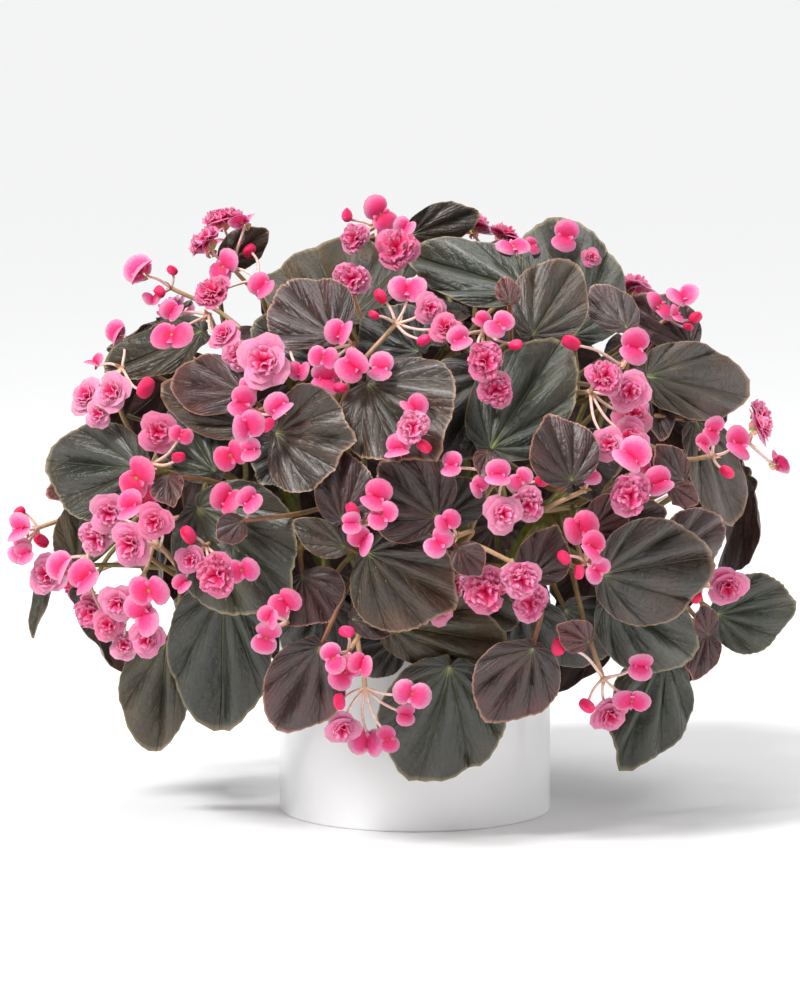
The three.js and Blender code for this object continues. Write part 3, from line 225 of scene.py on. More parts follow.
pot_inner = POT_RADIUS - POT_WALL
pot_profile = [
    (0, 0),
    *rounded_corner(POT_RADIUS - POT_EDGE, POT_EDGE, -90),
    *rounded_corner(POT_RADIUS - POT_EDGE, POT_HEIGHT - POT_EDGE, 0),
    *rounded_corner(pot_inner + POT_EDGE, POT_HEIGHT - POT_EDGE, 90),
    *((pot_inner - inwards, POT_FLOOR + upwards) for inwards, upwards in INNER_CORNER),
    (0, POT_FLOOR),
]
pot = show("white_pot", mesh_of("white_pot", *lathed(pot_profile, POT_SIDES)))
drill_points, drill_faces = [], []
drill_low, drill_high = -DRILL_OVERSHOOT, POT_FLOOR + DRILL_OVERSHOOT
for hole in range(DRAIN_HOLES):
    turn = 2 * math.pi * (hole + 0.5) / DRAIN_HOLES
    drill = [(0, drill_low), (DRAIN_RADIUS, drill_low), (DRAIN_RADIUS, drill_high), (0, drill_high)]
    points, faces = lathed(drill, DRILL_SIDES)
    shift = np.array([DRAIN_FROM_AXIS * math.cos(turn), DRAIN_FROM_AXIS * math.sin(turn), 0])
    drill_faces += [tuple(corner + len(drill_points) for corner in face) for face in faces]
    drill_points += list(np.array(points) + shift)
drills = show("drainage_drills", mesh_of("drainage_drills", drill_points, drill_faces))
drilling = pot.modifiers.new("drainage", "BOOLEAN")
drilling.object = drills
drilling.solver = "EXACT"


def made_plain(piece, *modifiers):
    """Keeps what the modifiers make of the piece as its plain mesh, and takes them off."""
    graph = bpy.context.evaluated_depsgraph_get()
    mesh = bpy.data.meshes.new_from_object(
        piece.evaluated_get(graph), preserve_all_data_layers=True, depsgraph=graph
    )
    for modifier in modifiers:
        piece.modifiers.remove(modifier)
    piece.data = mesh
    mesh.name = piece.name


made_plain(pot, drilling)
bpy.data.objects.remove(drills)
pot.data.set_sharp_from_angle(angle=POT_SHARP)

POT_WHITES = (0.1, (0.85, 0.85, 0.845)), (0.9, (0.89, 0.89, 0.885))
GLAZE_CLOUDS, GLAZE_BLOOM, GLAZE_PEEL = 9, 14, 350
PEEL_DEPTH = 0.00003
pot_finish, tree, shader = new_material(
    "white_glazed_pot", Roughness=0.3, Coat_Weight=0.35, Coat_Roughness=0.12
)
feed(shader, "Base Color", ramp(tree, noise(tree, GLAZE_CLOUDS, detail=2), *POT_WHITES))
feed(shader, "Roughness", maths(tree, "MULTIPLY_ADD", noise(tree, GLAZE_BLOOM, detail=1), 0.08, 0.25))
add_bump(tree, shader, noise(tree, GLAZE_PEEL, detail=1), PEEL_DEPTH, 0.3)
pot.data.materials.append(pot_finish)
finished(pot, ["pot"])

# The soil: dark, peaty potting mix that fills the pot to a low crown a little under its rim. Crumbs and bits
# of bark lie loose on it, with white grains of perlite between them.
SOIL_TOP, SOIL_CROWN = 110, 4
SOIL_GAP, SOIL_SINKS = 0.4, 1.2
SOIL_CHAMFER = 8
LUMP_HEIGHT, SMALL_LUMP_HEIGHT = 0.7, 0.45
SOIL_RINGS, SOIL_SIDES = 22, 96
CRUMBS_PER_M2, GRAINS_PER_M2 = 62000, 9000
CRUMB_SIZES, GRAIN_SIZES = (0.0005, 0.0021), (0.0007, 0.0014)


def soil_height(x, y):
    """The crown with the lumps of loose soil."""
    lumps = LUMP_HEIGHT * np.sin(0.31 * x + 1.3 * np.sin(0.17 * y)) * np.sin(0.27 * y + 0.9)
    lumps = lumps + SMALL_LUMP_HEIGHT * np.sin(0.83 * x + 0.4 * y) * np.sin(0.71 * y - 0.3 * x + 2)
    share = np.hypot(x, y) / pot_inner
    return SOIL_TOP + SOIL_CROWN * (1 - share**2) - SOIL_SINKS + lumps


soil_outer = pot_inner - SOIL_GAP
soil_low = POT_FLOOR + SOIL_GAP
soil_profile = [
    (0, soil_low),
    (soil_outer - SOIL_CHAMFER, soil_low),
    (soil_outer, POT_FLOOR + 1 + SOIL_CHAMFER),
    *((soil_outer * (1 - i / SOIL_RINGS), SOIL_TOP) for i in range(SOIL_RINGS)),
    (0, SOIL_TOP),
]
points, faces = lathed(soil_profile, SOIL_SIDES)
points = np.array(points)
is_top = points[:, 2] == SOIL_TOP
points[is_top, 2] = soil_height(points[is_top, 0], points[is_top, 1])
soil = show("potting_soil", mesh_of("potting_soil", points, faces))

SOIL_BROWNS = (0.3, (0.012, 0.008, 0.006)), (0.62, (0.05, 0.034, 0.024))
SOIL_GRAIN, SOIL_GRAIN_DEPTH = 420, 0.0015
soil_finish, tree, shader = new_material("damp_potting_soil", Roughness=0.95)
grain = noise(tree, SOIL_GRAIN, detail=6, roughness=0.7)
feed(shader, "Base Color", ramp(tree, grain, *SOIL_BROWNS))
add_bump(tree, shader, grain, SOIL_GRAIN_DEPTH)
soil.data.materials.append(soil_finish)
finished(soil, ["soil"])


def new_tree(name, *inputs):
    """A Geometry Nodes tree with a geometry in and out, and named inputs of (name, kind)."""
    tree = bpy.data.node_groups.new(name, "GeometryNodeTree")
    tree.interface.new_socket("Geometry", in_out="INPUT", socket_type="NodeSocketGeometry")
    for label, kind in inputs:
        tree.interface.new_socket(label, in_out="INPUT", socket_type="NodeSocket" + kind)
    tree.interface.new_socket("Geometry", in_out="OUTPUT", socket_type="NodeSocketGeometry")
    given = tree.nodes.new("NodeGroupInput")
    return tree, given.outputs


def close_tree(tree, geometry, material):
    """Ends a tree: its instances become real and take the material."""
    real = add_node(tree, "GeometryNodeRealizeInstances", {"Geometry": geometry}).outputs[0]
    smooth = add_node(tree, "GeometryNodeSetShadeSmooth", {"Geometry": real}).outputs[0]
    set_material = add_node(tree, "GeometryNodeSetMaterial", {"Geometry": smooth, "Material": material})
    tree.links.new(set_material.outputs[0], tree.nodes.new("NodeGroupOutput").inputs[0])


def grown(piece, tree, **values):
    """Runs the tree on the piece with these input values, and keeps the result as its plain mesh."""
    modifier = piece.modifiers.new(tree.name, "NODES")
    modifier.node_group = tree
    for item in tree.interface.items_tree:
        if item.in_out == "INPUT" and item.name in values:
            modifier[item.identifier] = values[item.name]
    made_plain(piece, modifier)


crumb_tree, given = new_tree(
    "loose_crumbs",
    ("Density", "Float"),
    ("Smallest", "Float"),
    ("Largest", "Float"),
    ("Seed", "Int"),
    ("Finish", "Material"),
)
upward = add_node(crumb_tree, "GeometryNodeInputNormal").outputs[0]
rise = add_node(crumb_tree, "ShaderNodeSeparateXYZ", {0: upward}).outputs["Z"]
is_top = add_node(crumb_tree, "FunctionNodeCompare", {0: rise, 1: 0.5}, operation="GREATER_THAN")
sockets = {
    "Mesh": given["Geometry"],
    "Selection": is_top.outputs[0],
    "Density": given["Density"],
    "Seed": given["Seed"],
}
spread = add_node(crumb_tree, "GeometryNodeDistributePointsOnFaces", sockets)
lump = add_node(crumb_tree, "GeometryNodeMeshIcoSphere", {"Radius": 1.0, "Subdivisions": 1}).outputs["Mesh"]
size = add_node(crumb_tree, "FunctionNodeRandomValue", {2: given["Smallest"], 3: given["Largest"], "Seed": 3})
sockets = {0: (0.6, 0.6, 0.35), 1: (1.4, 1.0, 0.8), "Seed": 4}
squash = add_node(crumb_tree, "FunctionNodeRandomValue", sockets, data_type="FLOAT_VECTOR")
sockets = {0: squash.outputs[0], "Scale": size.outputs[1]}
form = add_node(crumb_tree, "ShaderNodeVectorMath", sockets, operation="SCALE")
sockets = {0: (0, 0, 0), 1: (6.3, 6.3, 6.3), "Seed": 5}
turning = add_node(crumb_tree, "FunctionNodeRandomValue", sockets, data_type="FLOAT_VECTOR")
sockets = {
    "Points": spread.outputs["Points"],
    "Instance": lump,
    "Rotation": turning.outputs[0],
    "Scale": form.outputs[0],
}
placed = add_node(crumb_tree, "GeometryNodeInstanceOnPoints", sockets)
close_tree(crumb_tree, placed.outputs[0], given["Finish"])

PERLITE_WHITES = (0.35, (0.45, 0.42, 0.37)), (0.6, (0.8, 0.78, 0.74))
PERLITE_PORES, PERLITE_PORE_DEPTH = 1500, 0.0004
perlite_finish, tree, shader = new_material("perlite", Roughness=0.8)
pores = noise(tree, PERLITE_PORES, detail=2)
feed(shader, "Base Color", ramp(tree, pores, *PERLITE_WHITES))
add_bump(tree, shader, pores, PERLITE_PORE_DEPTH)
for name, density, sizes, seed, finish in (
    ("soil_crumbs", CRUMBS_PER_M2, CRUMB_SIZES, 11, soil_finish),
    ("perlite_grains", GRAINS_PER_M2, GRAIN_SIZES, 12, perlite_finish),
):
    loose = show(name, soil.data.copy())
    smallest, largest = sizes
    grown(loose, crumb_tree, Density=density, Smallest=smallest, Largest=largest, Seed=seed, Finish=finish)
    finished(loose, ["soil"])

# How the plant grew: a dome of leaves on branching stems, with flower sprays outside it. The leaves and the
# flowers that the photograph shows stand where it shows them, on the dome, and each keeps clear of the ones
# before it. The others, round the back and inside, grow on an even spiral wherever there is room.
SEED = 4711

# Leaves: base, tip, width in millimetres, layer (higher lies deeper), how near the tip leans, roll, tone. The
# near-black tone of the deepest leaves is painted shade.
# Base and tip are where they are seen, in pixels across and down the photograph's frame.
LEAVES = [
    ((168, 476), (171, 501), 20, -1, 0, 0, "young"),
    ((242, 521), (219, 538), 18, -1, 0, 0, "young"),
    ((459, 548), (479, 573), 20, -1, 0, 0, "young"),
    ((487, 452), (482, 472), 13, -1, 0, 0, "young"),
    ((683, 480), (662, 449), 21, -1, 0, 0, "young"),
    ((671, 484), (699, 501), 16, -1, 0, 0, "young"),
    ((589, 642), (562, 628), 20, -1, 0, 0, "young"),
    ((510, 303), (505, 278), 15, -1, 0, 0, "young"),
    ((707, 634), (706, 609), 16, -1, 0, 0, "young"),
    ((572, 481), (553, 419), 40, -1, 0, 0, "purple"),
    ((138, 469), (51, 462), 58, 0, -10, 0, "grey"),
    ((243, 393), (170, 377), 36, 0, -8, 0, "purple"),
    ((333, 335), (290, 285), 52, 0, 12, 0, "purple"),
    ((276, 433), (343, 436), 62, 0, 8, 0, "bronze"),
    ((368, 384), (430, 448), 70, 0, 6, 0, "bronze"),
    ((342, 520), (341, 456), 34, 0, 0, 0, "purple"),
    ((438, 517), (388, 470), 54, 0, 10, 0, "purple"),
    ((534, 334), (572, 268), 46, 0, 6, 0, "bronze"),
    ((627, 328), (598, 283), 29, 0, 0, 0, "purple"),
    ((650, 375), (748, 385), 48, 0, -14, 0, "bronze"),
    ((603, 574), (706, 563), 62, 0, -4, 0, "bronze"),
    ((368, 553), (447, 603), 62, 0, 6, 0, "bronze"),
    ((352, 620), (399, 624), 22, 0, 0, 0, "purple"),
    ((320, 647), (281, 729), 46, 0, 0, 0, "purple"),
    ((533, 648), (492, 719), 49, 0, 0, 0, "purple"),
    ((491, 448), (560, 346), 56, 1, 8, 0, "green"),
    ((198, 508), (279, 598), 76, 1, -4, 0, "green"),
    ((302, 577), (326, 619), 46, 1, 0, 0, "purple"),
    ((386, 624), (498, 644), 46, 1, 4, 0, "olive"),
    ((530, 577), (556, 532), 31, 1, 0, 0, "purple"),
    ((592, 530), (626, 500), 25, 1, 0, 0, "young"),
    ((612, 520), (664, 512), 22, 1, 6, 0, "purple"),
    ((668, 560), (724, 528), 40, 1, 0, 0, "purple"),
    ((655, 374), (668, 431), 27, 1, 0, 0, "purple"),
    ((697, 420), (747, 517), 38, 1, -8, 0, "bronze"),
    ((717, 614), (796, 614), 50, 1, -12, 0, "green"),
    ((708, 631), (701, 677), 27, 1, 0, 0, "young"),
    ((612, 598), (692, 655), 52, 1, 0, 0, "green"),
    ((526, 292), (415, 247), 46, 1, 10, 0, "green"),
    ((250, 425), (163, 386), 30, 1, 0, 0, "bronze"),
    ((345, 547), (297, 524), 20, 1, 0, 0, "bronze"),
    ((200, 330), (112, 364), 36, 1, -10, 0, "olive"),
    ((110, 478), (47, 490), 20, 1, -8, 0, "young"),
    ((215, 472), (172, 402), 44, 2, 0, 0, "green"),
    ((450, 668), (416, 780), 72, 0, -4, 0, "green"),
    ((222, 592), (217, 722), 62, 2, 0, 0, "green"),
    ((166, 642), (148, 748), 44, 2, 0, 0, "olive"),
    ((664, 655), (631, 762), 57, 2, 0, 0, "green"),
    ((452, 598), (516, 624), 30, 2, 0, 0, "olive"),
    ((345, 318), (318, 236), 82, 2, -14, 0, "olive"),
    ((575, 335), (562, 220), 76, 2, -14, 0, "green"),
    ((412, 235), (474, 217), 26, 2, 0, 55, "bronze"),
    ((224, 264), (265, 234), 24, 2, 0, 60, "bronze"),
    ((76, 566), (79, 503), 26, 2, 0, 35, "olive"),
    ((57, 566), (23, 627), 22, 2, 0, 35, "olive"),
    ((690, 348), (640, 297), 38, 2, 0, 0, "purple"),
    ((418, 352), (366, 312), 44, 2, 0, 0, "dark"),
    ((322, 362), (256, 321), 38, 2, 0, 0, "dark"),
    ((500, 372), (446, 448), 66, 2, 0, 0, "dark"),
    ((446, 516), (482, 486), 28, 2, 0, 0, "dark"),
    ((322, 596), (294, 664), 46, 3, 0, 0, "dark"),
    ((398, 640), (344, 662), 40, 3, 0, 0, "dark"),
    ((520, 604), (520, 668), 56, 3, 0, 0, "dark"),
    ((420, 250), (352, 262), 44, 3, 0, 0, "dark"),
    ((300, 440), (262, 478), 50, 3, 0, 0, "dark"),
    ((566, 440), (596, 494), 48, 3, 0, 0, "dark"),
    ((566, 610), (600, 668), 50, 3, 0, 0, "dark"),
]


def double(across, down, width):
    return "double", (across, down), width


def single(across, down, width):
    return "single", (across, down), width


def bud(across, down, width):
    return "bud", (across, down), width


# Sprays: the hub where the pedicels meet, whether it lies deep, and its flowers with their widths in
# millimetres. Hubs and flowers, too, are where they are seen.
SPRAYS = [
    ((171, 288), 0, [single(143, 273, 20), bud(172, 270, 8), bud(160, 292, 9), single(152, 300, 11)]),
    ((209, 315), 0, [
        single(174, 313, 14), single(172, 336, 20), double(224, 334, 25), double(238, 356, 16),
    ]),
    ((258, 279), 0, [single(264, 288, 16), bud(249, 251, 10), single(224, 267, 18), double(212, 291, 21)]),
    ((293, 333), 0, [double(264, 362, 28), single(300, 372, 12), single(252, 384, 14)]),
    ((376, 226), 0, [
        single(380, 209, 19), bud(347, 215, 10), double(354, 238, 17), double(397, 247, 24),
        single(406, 229, 13),
    ]),
    ((352, 290), 0, [double(351, 279, 20)]),
    ((396, 324), 0, [
        single(408, 290, 18), bud(380, 296, 10), bud(374, 315, 7), double(430, 308, 17),
        double(445, 326, 18), bud(424, 340, 9),
    ]),
    ((352, 345), 0, [
        single(342, 334, 16), single(324, 358, 14), single(325, 379, 18), single(354, 366, 18),
        single(381, 370, 16), bud(340, 388, 9),
    ]),
    ((483, 331), 0, [
        single(480, 322, 11), single(499, 325, 15), single(460, 341, 14), double(485, 361, 21),
        double(496, 390, 19), bud(516, 345, 9),
    ]),
    ((534, 266), 0, [
        single(513, 247, 16), single(532, 246, 10), single(563, 240, 22), double(588, 268, 14),
    ]),
    ((668, 319), 0, [
        single(683, 297, 17), single(659, 307, 16), single(674, 316, 10), bud(696, 317, 10),
        bud(688, 327, 7),
    ]),
    ((622, 366), 0, [single(633, 349, 19), bud(571, 342, 12)]),
    ((590, 392), 0, [
        double(604, 377, 21), double(628, 392, 22), double(634, 414, 22), double(629, 438, 22),
        double(608, 444, 18),
    ]),
    ((712, 456), 0, [single(712, 430, 14), single(702, 446, 12), single(737, 445, 18), bud(727, 472, 10)]),
    ((628, 476), 0, [
        single(627, 459, 21), double(630, 495, 23), single(650, 470, 13), single(659, 485, 17),
    ]),
    ((585, 490), 0, [single(589, 473, 16)]),
    ((503, 480), 0, [
        single(452, 466, 13), single(477, 487, 12), single(497, 476, 15), single(520, 479, 12),
        bud(545, 478, 13), double(503, 514, 21), double(528, 505, 19),
    ]),
    ((586, 562), 0, [
        single(579, 528, 18), single(590, 549, 17), single(597, 570, 13), bud(579, 572, 9),
        bud(564, 558, 10),
    ]),
    ((512, 562), 0, [double(485, 591, 25), double(521, 580, 21), double(530, 603, 20)]),
    ((457, 536), 0, [single(446, 522, 13), single(439, 543, 17)]),
    ((452, 562), 1, [double(452, 586, 18), double(438, 612, 15)]),
    ((362, 525), 0, [
        single(376, 499, 18), single(383, 517, 14), single(365, 541, 16), single(351, 524, 12),
        bud(352, 510, 10),
    ]),
    ((404, 440), 0, [single(412, 409, 15), double(413, 427, 18), single(398, 452, 17), bud(424, 446, 10)]),
    ((286, 622), 0, [single(284, 603, 17), single(273, 616, 13), single(266, 637, 17)]),
    ((348, 652), 0, [bud(347, 632, 10), single(333, 658, 14), single(345, 672, 17), single(363, 664, 14)]),
    ((365, 688), 0, [
        double(342, 728, 24), single(368, 742, 18), single(388, 739, 13), bud(339, 702, 11),
        single(412, 694, 17), single(405, 715, 12),
    ]),
    ((603, 678), 0, [
        single(640, 666, 15), single(631, 700, 17), double(610, 716, 21), bud(587, 706, 11),
        bud(559, 647, 12),
    ]),
    ((700, 586), 0, [double(728, 588, 23), bud(697, 596, 10)]),
    ((255, 412), 0, [
        single(242, 404, 16), single(246, 427, 18), single(281, 410, 16), single(231, 455, 17),
        single(252, 450, 13), bud(268, 425, 10),
    ]),
    ((240, 527), 0, [single(227, 500, 17), single(250, 500, 14)]),
    ((206, 546), 0, [
        bud(188, 535, 12), double(190, 560, 16), double(217, 575, 23), single(242, 570, 16),
        single(183, 586, 11),
    ]),
    ((122, 368), 0, [
        single(120, 335, 16), single(95, 364, 15), double(86, 395, 23), double(112, 392, 21),
        bud(145, 388, 14), double(98, 414, 15),
    ]),
    ((152, 464), 0, [
        double(157, 432, 21), single(181, 435, 11), bud(178, 457, 9), single(139, 478, 21),
        single(146, 499, 16),
    ]),
    ((160, 546), 0, [
        double(108, 514, 21), single(134, 509, 21), double(156, 522, 20), double(95, 539, 19),
        double(130, 545, 24),
    ]),
    ((144, 574), 0, [
        single(150, 590, 20), double(117, 604, 21), single(145, 614, 21), double(146, 640, 20),
        double(124, 645, 16),
    ]),
    ((88, 556), 0, [
        double(47, 574, 23), single(66, 570, 20), single(88, 580, 21), double(90, 613, 21),
        double(108, 624, 18),
    ]),
    ((38, 528), 0, [
        single(13, 530, 17), single(14, 550, 14), single(27, 554, 12), bud(19, 512, 9), bud(40, 541, 11),
    ]),
]

X_AXIS, Z_AXIS = np.eye(3)[0], np.eye(3)[2]
GOLDEN_ANGLE = math.pi * (3 - math.sqrt(5))


def unit(vectors):
    return vectors / np.linalg.norm(vectors, axis=-1, keepdims=True)


def turned(vector, axis, angle):
    """The vector turned about a unit axis."""
    side = np.cross(axis, vector)
    return vector * math.cos(angle) + side * math.sin(angle) + axis * (axis @ vector) * (1 - math.cos(angle))


class Draw:
    """A plain seeded generator of numbers, so that the plant grows the same way each time."""

    seed, factor, modulus = SEED, 16807, 2**31 - 1

    def __call__(self, low=0.0, high=1.0):
        self.seed = self.seed * self.factor % self.modulus
        return low + ((high - low) * self.seed) / self.modulus


draw = Draw()


def sight_through(place):
    """The direction from the camera through a place in the photograph's frame."""
    focal = VIEW_DISTANCE * PIXELS_PER_MM
    aside = X_AXIS * (place[0] - FRAME_WIDE / 2) / focal
    return unit(aside + VIEW_UP * (FRAME_HIGH / 2 - place[1]) / focal - TO_VIEWER)


# The dome of foliage is an ellipsoid, less an inset
DOME_MIDDLE = np.array([-6, 0, 178])
DOME_RADII = np.array([212, 192, 166])
HIGHEST = 0.97


def on_dome(place, inset):
    """The near side of the dome, behind a place in the photograph's frame."""
    radii = DOME_RADII - inset
    sight = sight_through(place)
    start = (VIEW_PLACE - DOME_MIDDLE) / radii
    way = sight / radii
    a, b = way @ way, start @ way
    root = b * b - a * (start @ start - 1)
    return VIEW_PLACE + sight * ((-b - math.sqrt(max(root, 0))) / a)


def dome_towards(direction, inset):
    return DOME_MIDDLE + direction / np.linalg.norm(direction / (DOME_RADII - inset))


def dome_normal(point):
    return unit((point - DOME_MIDDLE) / DOME_RADII / DOME_RADII)


def spiral(i, count, lowest):
    """One of a number of directions spread evenly from the top down."""
    z = HIGHEST - ((HIGHEST - lowest) * (i + 0.5)) / count
    flat = math.sqrt(1 - z * z)
    return np.array([flat * math.cos(GOLDEN_ANGLE * i), flat * math.sin(GOLDEN_ANGLE * i), z])


# A blade in its own frame: midrib from base to tip, across it, and upper, its face. Its oval's middle and
# half are shares of its length, and the widths of its tip and notch are angles at its base.
FORM = ("skew", "cup", "arch", "wave", "phase")
BLADE_MIDDLE, BLADE_HALF = 0.44, 0.53
TIP_REACH, TIP_WIDTH, NOTCH_WIDTH = 0.07, 0.2, 0.45
RIM_WAVES = 5


def leaf_form():
    ranges = ((-0.12, 0.12), (-0.1, 0.14), (0.04, 0.16), (0.01, 0.03), (0, 2 * math.pi))
    return {name: draw(*limits) for name, limits in zip(FORM, ranges)}


def leaf_on(base, tip, face, width, roll, form):
    length = np.linalg.norm(tip - base)
    midrib = (tip - base) / length
    upper = turned(unit(face - midrib * (face @ midrib)), midrib, math.radians(roll))
    across = np.cross(upper, midrib)
    return {
        "base": base,
        "midrib": midrib,
        "upper": upper,
        "across": across,
        "length": length,
        "width": width,
        **form,
    }


def gathered(leaves):
    """The leaves' sizes as columns, so that one sum serves them all."""
    columns = {}
    for name in ("length", "width", *FORM):
        columns[name] = np.array([leaf[name] for leaf in leaves], float)[:, None]
    for name in ("base", "midrib", "upper", "across"):
        columns[name] = np.array([leaf[name] for leaf in leaves])
    return columns


def rim_distance(leaf, angle):
    """From the base to the rim: an oval with a point and a notch, and one larger side."""
    middle, half = BLADE_MIDDLE * leaf["length"], BLADE_HALF * leaf["length"]
    side = (leaf["width"] / 2) * (1 + leaf["skew"] * np.sign(angle))
    c, s = np.cos(angle), np.sin(angle)
    a = (c * c) / half**2 + (s * s) / side**2
    b = (middle * c) / half**2
    oval = (b + np.sqrt(b * b - a * ((middle / half) ** 2 - 1))) / a
    point = 1 + TIP_REACH * np.exp(-((angle / TIP_WIDTH) ** 2))
    return oval * point * np.minimum(1, (math.pi - np.abs(angle)) / NOTCH_WIDTH)


def blade_height(leaf, angle, share):
    reach = share * rim_distance(leaf, angle)
    forwards = reach * np.cos(angle) / leaf["length"]
    sideways = reach * np.sin(angle) / (leaf["width"] / 2)
    curve = leaf["cup"] * 0.5 * leaf["width"] * sideways**2 - leaf["arch"] * leaf["length"] * forwards**2
    return curve + leaf["wave"] * leaf["length"] * share**3 * np.sin(RIM_WAVES * angle + leaf["phase"])


def blade_points(leaf, angle, share, lift=0.0):
    reach = share * rim_distance(leaf, angle)
    height = blade_height(leaf, angle, share) + lift
    forwards = (reach * np.cos(angle))[..., None] * leaf["midrib"]
    sideways = (reach * np.sin(angle))[..., None] * leaf["across"]
    return leaf["base"] + (forwards + sideways) + height[..., None] * leaf["upper"]


SAMPLE_ANGLES = np.repeat(np.radians(-150 + 25 * np.arange(13)), 3)
SAMPLE_SHARES = np.tile([0.35, 0.7, 1], 13)


def blade_samples(leaf):
    return np.vstack([leaf["base"], blade_points(leaf, SAMPLE_ANGLES, SAMPLE_SHARES)])


def height_over(blades, points, margin):
    """How far each point is above each blade, or nan where it is beside it."""
    offset = points - blades["base"][:, None]
    forwards = np.einsum("lpk,lk->lp", offset, blades["midrib"])
    sideways = np.einsum("lpk,lk->lp", offset, blades["across"])
    lift = np.einsum("lpk,lk->lp", offset, blades["upper"])
    angle = np.arctan2(sideways, forwards)
    rim = rim_distance(blades, angle)
    reach = np.hypot(forwards, sideways)
    height = lift - blade_height(blades, angle, np.minimum(1, reach / np.maximum(rim, 1)))
    return np.where(reach > rim + margin, np.nan, height)


def centre_of(leaf):
    return leaf["base"] + leaf["midrib"] * (BLADE_MIDDLE * leaf["length"])


def reach_of(leaf):
    """How far from its centre a leaf can touch something."""
    return 0.5 * np.maximum(leaf["length"], leaf["width"]) + 6


def is_in_pot(points, margin):
    """Whether each point is within a margin of the pot or the soil."""
    from_axis = np.hypot(points[..., 0], points[..., 1])
    mouth = from_axis < POT_RADIUS - POT_WALL - margin
    top = np.where(mouth, SOIL_TOP + SOIL_CROWN, POT_HEIGHT) + margin
    return (from_axis <= POT_RADIUS + margin) & (points[..., 2] < top)


POT_CLEARANCE, RIM_ROOM, LEAF_CLEARANCE, SLIDE = 3, 14, 3, 3
LAYER_INSET, BASE_INSET, MOST_SLIDES = 10, 6, 30
NEAR_MARGIN = 4
FACE_TO_VIEWER, FACE_OUTWARDS = 0.62, 0.5


def is_clear_of_pot(leaf):
    return not is_in_pot(blade_samples(leaf), POT_CLEARANCE).any()


def neighbours(leaf, placed):
    """The placed leaves that are near enough to touch this one, and which those are."""
    gaps = np.linalg.norm(centre_of(placed) - centre_of(leaf), axis=1)
    near = gaps <= reach_of(leaf) + reach_of(placed)[:, 0]
    return {name: column[near] for name, column in placed.items()}, gaps


def mutual_heights(leaf, near):
    """How far the leaf's samples are above the near blades, and theirs above it."""
    own = height_over(near, blade_samples(leaf)[None], 2)
    rows = len(near["base"])
    samples = near_samples(near, rows)
    other = height_over(gathered([leaf]), samples.reshape(1, -1, 3), 2).reshape(rows, -1)
    return own, other


def near_samples(near, rows):
    """The samples of several blades at once."""
    spread = dict(near)
    for name in ("base", "midrib", "upper", "across"):
        spread[name] = near[name][:, None]
    angle = np.broadcast_to(SAMPLE_ANGLES, (rows, len(SAMPLE_ANGLES)))
    share = np.broadcast_to(SAMPLE_SHARES, angle.shape)
    points = blade_points(spread, angle, share)
    return np.concatenate([near["base"][:, None], points], axis=1)


def is_behind(leaf, placed):
    """Whether a leaf that is seen lies clear below every leaf that was placed before it."""
    if placed is None:
        return True
    near, _ = neighbours(leaf, placed)
    if not len(near["base"]):
        return True
    own, other = mutual_heights(leaf, near)
    return not (own > -LEAF_CLEARANCE).any() and not (other < LEAF_CLEARANCE).any()


def is_apart(leaf, placed, room):
    """Whether a hidden leaf has room about its centre and crosses no leaf that was placed before it."""
    near, gaps = neighbours(leaf, placed)
    if (gaps <= room).any():
        return False
    if not len(near["base"]):
        return True
    for heights in mutual_heights(leaf, near):
        above = np.where(np.isnan(heights), True, heights > LEAF_CLEARANCE).all(axis=1)
        below = np.where(np.isnan(heights), True, heights < -LEAF_CLEARANCE).all(axis=1)
        if not (above | below).all():
            return False
    return True


LONGEST = 1.12


def foreshorten(start, end, width):
    """Turns a leaf towards the viewer about its middle, where it would be too long for its width."""
    span = end - start
    depth = span @ TO_VIEWER
    seen = math.sqrt(max(0, span @ span - depth**2))
    most = math.sqrt(max(0, (LONGEST * max(width, seen)) ** 2 - seen**2))
    turn = min(max(depth, -most), most) - depth
    return start - TO_VIEWER * (turn / 2), end + TO_VIEWER * (turn / 2)


def seen_leaves():
    """The leaves that are seen, front ones first: each slides back along the line of sight until clear."""
    placed = []
    for base, tip, width, layer, near, roll, tone in sorted(LEAVES, key=lambda row: row[3]):
        start = on_dome(base, LAYER_INSET * layer + BASE_INSET)
        end = on_dome(tip, LAYER_INSET * layer) + TO_VIEWER * near
        start, end = foreshorten(start, end, width)
        while is_in_pot(end, RIM_ROOM):
            end = end + TO_VIEWER * SLIDE
        face = unit(TO_VIEWER * FACE_TO_VIEWER + dome_normal((start + end) / 2) * FACE_OUTWARDS)
        leaf = {**leaf_on(start, end, face, width, roll, leaf_form()), "tone": tone, "hidden": False}
        others = gathered(placed) if placed else None
        steps = 0
        while steps < MOST_SLIDES and not is_behind(leaf, others):
            leaf["base"] = leaf["base"] - TO_VIEWER * SLIDE
            steps += 1
        while not is_clear_of_pot(leaf):
            leaf["base"] = leaf["base"] + TO_VIEWER * SLIDE
        placed.append(leaf)
    return placed


FLOWER_CLEARANCE, HUB_INSET, HUB_ROOM = 2, 12, 4
DEEP_HUB, DEEP_FLOWER = 20, 26
FACING_OUTWARDS, FACING_TOWARDS = 0.45, 0.7
FACING_STRAYS = (-0.4, 0.4), (-0.25, 0.25), (-0.45, 0.35)
SETTLE_SIZES, SETTLE_STEPS, SETTLE_STEP, SETTLE_SHRINK = 4, 26, 1.1, 0.86


